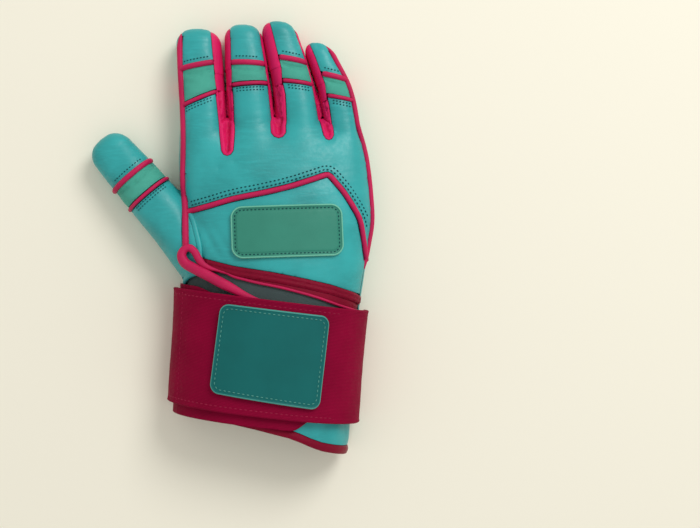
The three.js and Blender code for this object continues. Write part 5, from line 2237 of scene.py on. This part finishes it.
@dataclass(frozen=True)
class Plate:
    """Sizes of one patch.

    Attributes:
        length: Length.
        width: Width.
        corner: Radius of the corners.
        base: Height of the outer wall.
        steps: Inset, rise and material of each step of the top from the edge inwards.
        row: Distance of the stitches from the edge.
        row_corner: Radius of their row's corners.
        row_level: Height of the row.
        stitch: Length, width and thread share of the stitches.
    """

    length: float
    width: float
    corner: float
    base: float
    steps: tuple[tuple[float, float, int], ...] = ()
    row: float = 0.0
    row_corner: float = 0.0
    row_level: float = 0.0
    stitch: Three = (2.4, 0.6, 0.62)


STRAP_PATCH = Plate(58, 46.5, 5.0, 2.0, ((0.2, 0.26, 1), (0.2, 0.14, 1), (0.3, 0.0, 1), (0.3, -0.3, 0),
                                         (0.4, -0.08, 0)), 2.3, 3.6, 2.16)
BACK_PATCH = Plate(57, 26.9, 6.0, 1.7, ((0.2, 0.3, 0), (0.2, 0.12, 0), (0.4, 0.0, 0), (0.3, -0.55, 1),
                                        (1.6, 0.0, 1), (0.3, 0.3, 1), (0.3, 0.06, 1)), 2.0, 4.0, 1.62,
                   (2.0, 0.6, 0.62))


@dataclass
class Patches(SubAssembly):
    """The two moulded rubber patches, plain with a raised rim and a row of stitches, and the hook pad.

    Attributes:
        wrap: Where the strap lies.
        strap_gap: Gap between the webbing and the strap's patch.
        strap_place: Plan distance of that patch's middle from the strap's, along it.
        corners: How far the sewing drew its four corners, low left, low right, high left and high right.
        back_place: Plan place of the other patch's middle.
        back_lean: Its turn from +X, in degrees.
        pad_ends: Plan distances of the hook pad's two ends from the strap's middle.
        pad_width: Width of the hook pad.
        pad_sink: How far it is let into the webbing.
    """

    wrap: StrapFrame
    strap_gap: float = 0.25
    strap_place: float = 1.5
    corners: Spots = ((0.0, 3.0), (-3.0, 0.4), (2.7, 1.9), (-1.2, 1.9))
    back_place: tuple[float, float] = (6, 9.41)
    back_lean: float = 2.0
    pad_ends: tuple[float, float] = (-43.5, -0.5)
    pad_width: float = 46.0
    pad_sink: float = 0.2

    def build(self) -> None:
        """Make both patches and the hook pad."""
        strap = self._patch("strap_patch", STRAP_PATCH, [DARK, RIM], "strap", self._on_strap)
        self.shop.thread("strap_patch_stitches", PALE_THREAD, [strap], STRAP_PATCH.stitch, "strap")
        back = self._patch("back_patch", BACK_PATCH, [PALE, FIELD], "hand", self._on_back)
        low = back[0]
        rows = [(low, self.form.out(low, [self.form.hand]))]
        self.shop.thread("back_patch_stitches", HOLE_SHADED_THREAD, rows, BACK_PATCH.stitch)
        self._hook_pad()

    def _patch(self, node: str, plate: Plate, finishes: Sequence[Finish], body: str,
               carry: Callable[[Points], Points]) -> tuple[Points, np.ndarray]:
        """One patch.

        Args:
            node: The CAD node that it stands for.
            plate: Its sizes.
            finishes: Its materials.
            body: The body that it rides on.
            carry: Carries its flat frame to the glove.

        Returns:
            Places along the row of stitches, and the way up there.
        """
        bm = self._plate(plate)
        put(bm, carry(places(bm)))
        bmesh.ops.recalc_face_normals(bm, faces=bm.faces)
        self.shop.finish_piece(bm, f"{node}_plate", finishes, [node], body)
        turn = np.linspace(0, 2 * math.pi, 241)
        around = self._rounded(np.column_stack([np.cos(turn), np.sin(turn)]), plate.length - 2 * plate.row,
                               plate.width - 2 * plate.row, plate.row_corner)
        around = spaced(around, 0.5, False)
        low, high = (carry(np.column_stack([around, np.full(len(around), level)]))
                     for level in (plate.row_level, plate.row_level + 1))
        return low, high - low

    @staticmethod
    def _rounded(way: np.ndarray, length: float, width: float, corner: float) -> np.ndarray:
        """Flat places round a rounded rectangle, from places round a circle."""
        return np.sign(np.round(way, 6)) * np.array([length / 2 - corner, width / 2 - corner]) + way * corner

    def _plate(self, plate: Plate) -> bmesh.types.BMesh:
        """A flat rounded plate whose top is stepped by insets, in its own flat frame.

        Args:
            plate: Its sizes.

        Returns:
            The mesh.
        """
        bm = bmesh.new()
        bmesh.ops.create_circle(bm, cap_ends=True, segments=96, radius=1)
        around = self._rounded(places(bm)[:, :2], plate.length, plate.width, plate.corner)
        put(bm, np.column_stack([around, np.zeros(len(around))]))
        bm.faces.ensure_lookup_table()
        top = bm.faces[0]
        if top.normal.z < 0:
            top.normal_flip()
        raised = bmesh.ops.extrude_face_region(bm, geom=[top], use_keep_orig=True)["geom"]
        verts = [g for g in raised if isinstance(g, bmesh.types.BMVert)]
        bmesh.ops.translate(bm, vec=(0, 0, plate.base), verts=verts)
        bmesh.ops.recalc_face_normals(bm, faces=bm.faces)
        middle = next(g for g in raised if isinstance(g, bmesh.types.BMFace))
        for inset, rise, material in plate.steps:
            made = bmesh.ops.inset_region(bm, faces=[middle], thickness=inset, depth=0, use_even_offset=True)
            bmesh.ops.translate(bm, vec=(0, 0, rise), verts=middle.verts[:])
            for face in (*made["faces"], middle):
                face.material_index = material
        finely_cut(bm, 2.0, (0, 1))
        return bm

    def _on_strap(self, flat: Points) -> Points:
        """Carry the strap patch's flat frame to the strap, as the sewing drew its four corners.

        Args:
            flat: Places in the flat frame.

        Returns:
            Places in the frame.
        """
        wrap = self.wrap
        u, v = flat[:, 0] / STRAP_PATCH.length + 0.5, flat[:, 1] / STRAP_PATCH.width + 0.5
        low_left, low_right, high_left, high_right = (np.array(corner) for corner in self.corners)
        low = low_left + np.outer(u, low_right - low_left)
        high = high_left + np.outer(u, high_right - high_left)
        sewn = flat[:, :2] + low + (high - low) * v[:, None]
        outside = wrap.inside + wrap.thickness + self.strap_gap
        return wrap.world(sewn[:, 0] + wrap.along(self.strap_place), sewn[:, 1], flat[:, 2] + outside)

    def _hook_pad(self) -> None:
        """The hook pad under the strap's free end, a little proud of the webbing."""
        wrap = self.wrap
        start, end = (wrap.along(u) for u in self.pad_ends)
        bm = self._plate(Plate(end - start, self.pad_width, 2.5, 1.1))
        flat = places(bm)
        level = wrap.inside - self.pad_sink + flat[:, 2]
        put(bm, wrap.world(flat[:, 0] + (start + end) / 2, flat[:, 1], level))
        bmesh.ops.recalc_face_normals(bm, faces=bm.faces)
        self.shop.finish_piece(bm, "strap_hook_pad", [PAD], ["hook_pad"], "strap")

    def _on_back(self, flat: Points) -> Points:
        """Carry the patch's flat frame to the back of the hand.

        Args:
            flat: Places in the flat frame.

        Returns:
            Places in the frame.
        """
        hand = [self.form.hand]
        a = math.radians(self.back_lean)
        plan = np.array(self.back_place) + flat[:, :2] @ np.array([[math.cos(a), math.sin(a)],
                                                                   [-math.sin(a), math.cos(a)]])
        base = self.form.height(plan, 0.35, hand)
        return base + self.form.out(base, hand) * flat[:, 2:3]


@dataclass
class Studio:
    """A pale floor, soft light and the camera. Lengths are in metres.

    Attributes:
        floor: Colour of the floor.
        air: Colour and strength of the world's light.
        key: Place of the soft light.
        key_size: Its size.
        key_power: Its power.
        distance: Height of the camera over its aim.
        lens: Focal length, in millimetres.
        aim: Where the camera looks.
        over: Plan place of the camera.
    """

    floor: Shade = linear(247, 243, 226)
    air: tuple[float, ...] = (1, 0.985, 0.96, 0.66)
    key: Three = (0.62, 0.86, 1.05)
    key_size: float = 0.72
    key_power: float = 10.2
    distance: float = 0.62
    lens: float = 60.0
    aim: Three = (0.0397, -0.0074, 0.015)
    over: tuple[float, float] = (-0.0027, -0.0074)

    def build(self) -> None:
        """Set the stage, the light and the camera."""
        self._floor()
        self._lights()
        self._camera()
        bpy.context.scene.view_settings.view_transform = "Standard"

    def _floor(self) -> None:
        """A wide plain floor under the glove."""
        bm = bmesh.new()
        bmesh.ops.create_grid(bm, x_segments=1, y_segments=1, size=3)
        mesh = bpy.data.meshes.new("studio_floor")
        bm.to_mesh(mesh)
        bm.free()
        material = bpy.data.materials.new("studio_paper")
        material.use_nodes = True
        shader = material.node_tree.nodes["Principled BSDF"]
        for key, value in (("Base Color", (*self.floor, 1)), ("Roughness", 0.9), ("Specular IOR Level", 0.1)):
            shader.inputs[key].default_value = value
        mesh.materials.append(material)
        floor = self._placed("studio_floor", mesh)
        floor.location.z = -0.0005

    @staticmethod
    def _placed(name: str, data: bpy.types.ID) -> bpy.types.Object:
        """A new object in the scene.

        Args:
            name: Its name.
            data: Its data.

        Returns:
            The object.
        """
        made = bpy.data.objects.new(name, data)
        bpy.context.scene.collection.objects.link(made)
        return made

    def _lights(self) -> None:
        """A soft key from the upper right and a plain pale world."""
        world = bpy.data.worlds.new("studio_air")
        world.use_nodes = True
        back = world.node_tree.nodes["Background"]
        back.inputs["Color"].default_value = (*self.air[:3], 1)
        back.inputs["Strength"].default_value = self.air[3]
        bpy.context.scene.world = world
        data = bpy.data.lights.new("key", "AREA")
        data.shape = "DISK"
        data.size, data.energy = self.key_size, self.key_power
        lamp = self._placed("key", data)
        lamp.location = self.key
        lamp.rotation_euler = (-Vector(self.key)).to_track_quat("-Z", "Y").to_euler()

    def _camera(self) -> None:
        """The camera straight above the glove, aimed a little to its right."""
        data = bpy.data.cameras.new("camera")
        data.lens, data.sensor_width, data.clip_end = self.lens, 36, 10
        camera = self._placed("camera", data)
        place = Vector((*self.over, self.aim[2] + self.distance))
        back = (place - Vector(self.aim)).normalized()
        right = Vector((0, 1, 0)).cross(back).normalized()
        camera.matrix_world = Matrix((right, back.cross(right), back)).transposed().to_4x4()
        camera.location = place
        bpy.context.scene.camera = camera


def main() -> None:
    """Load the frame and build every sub-assembly in order."""
    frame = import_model()
    form = GloveForm()
    wrap = StrapFrame(form)
    shop = Workshop(frame, form, Wardrobe(wrap.lean))
    for part in (BackOfHand(shop), Fingers(shop), PalmAndThumb(shop), Wrist(shop, wrap),
                 WristStrap(shop, wrap), Patches(shop, wrap), Studio()):
        part.build()
        log.info("built %s", type(part).__name__)


if __name__ == "__main__":
    main()
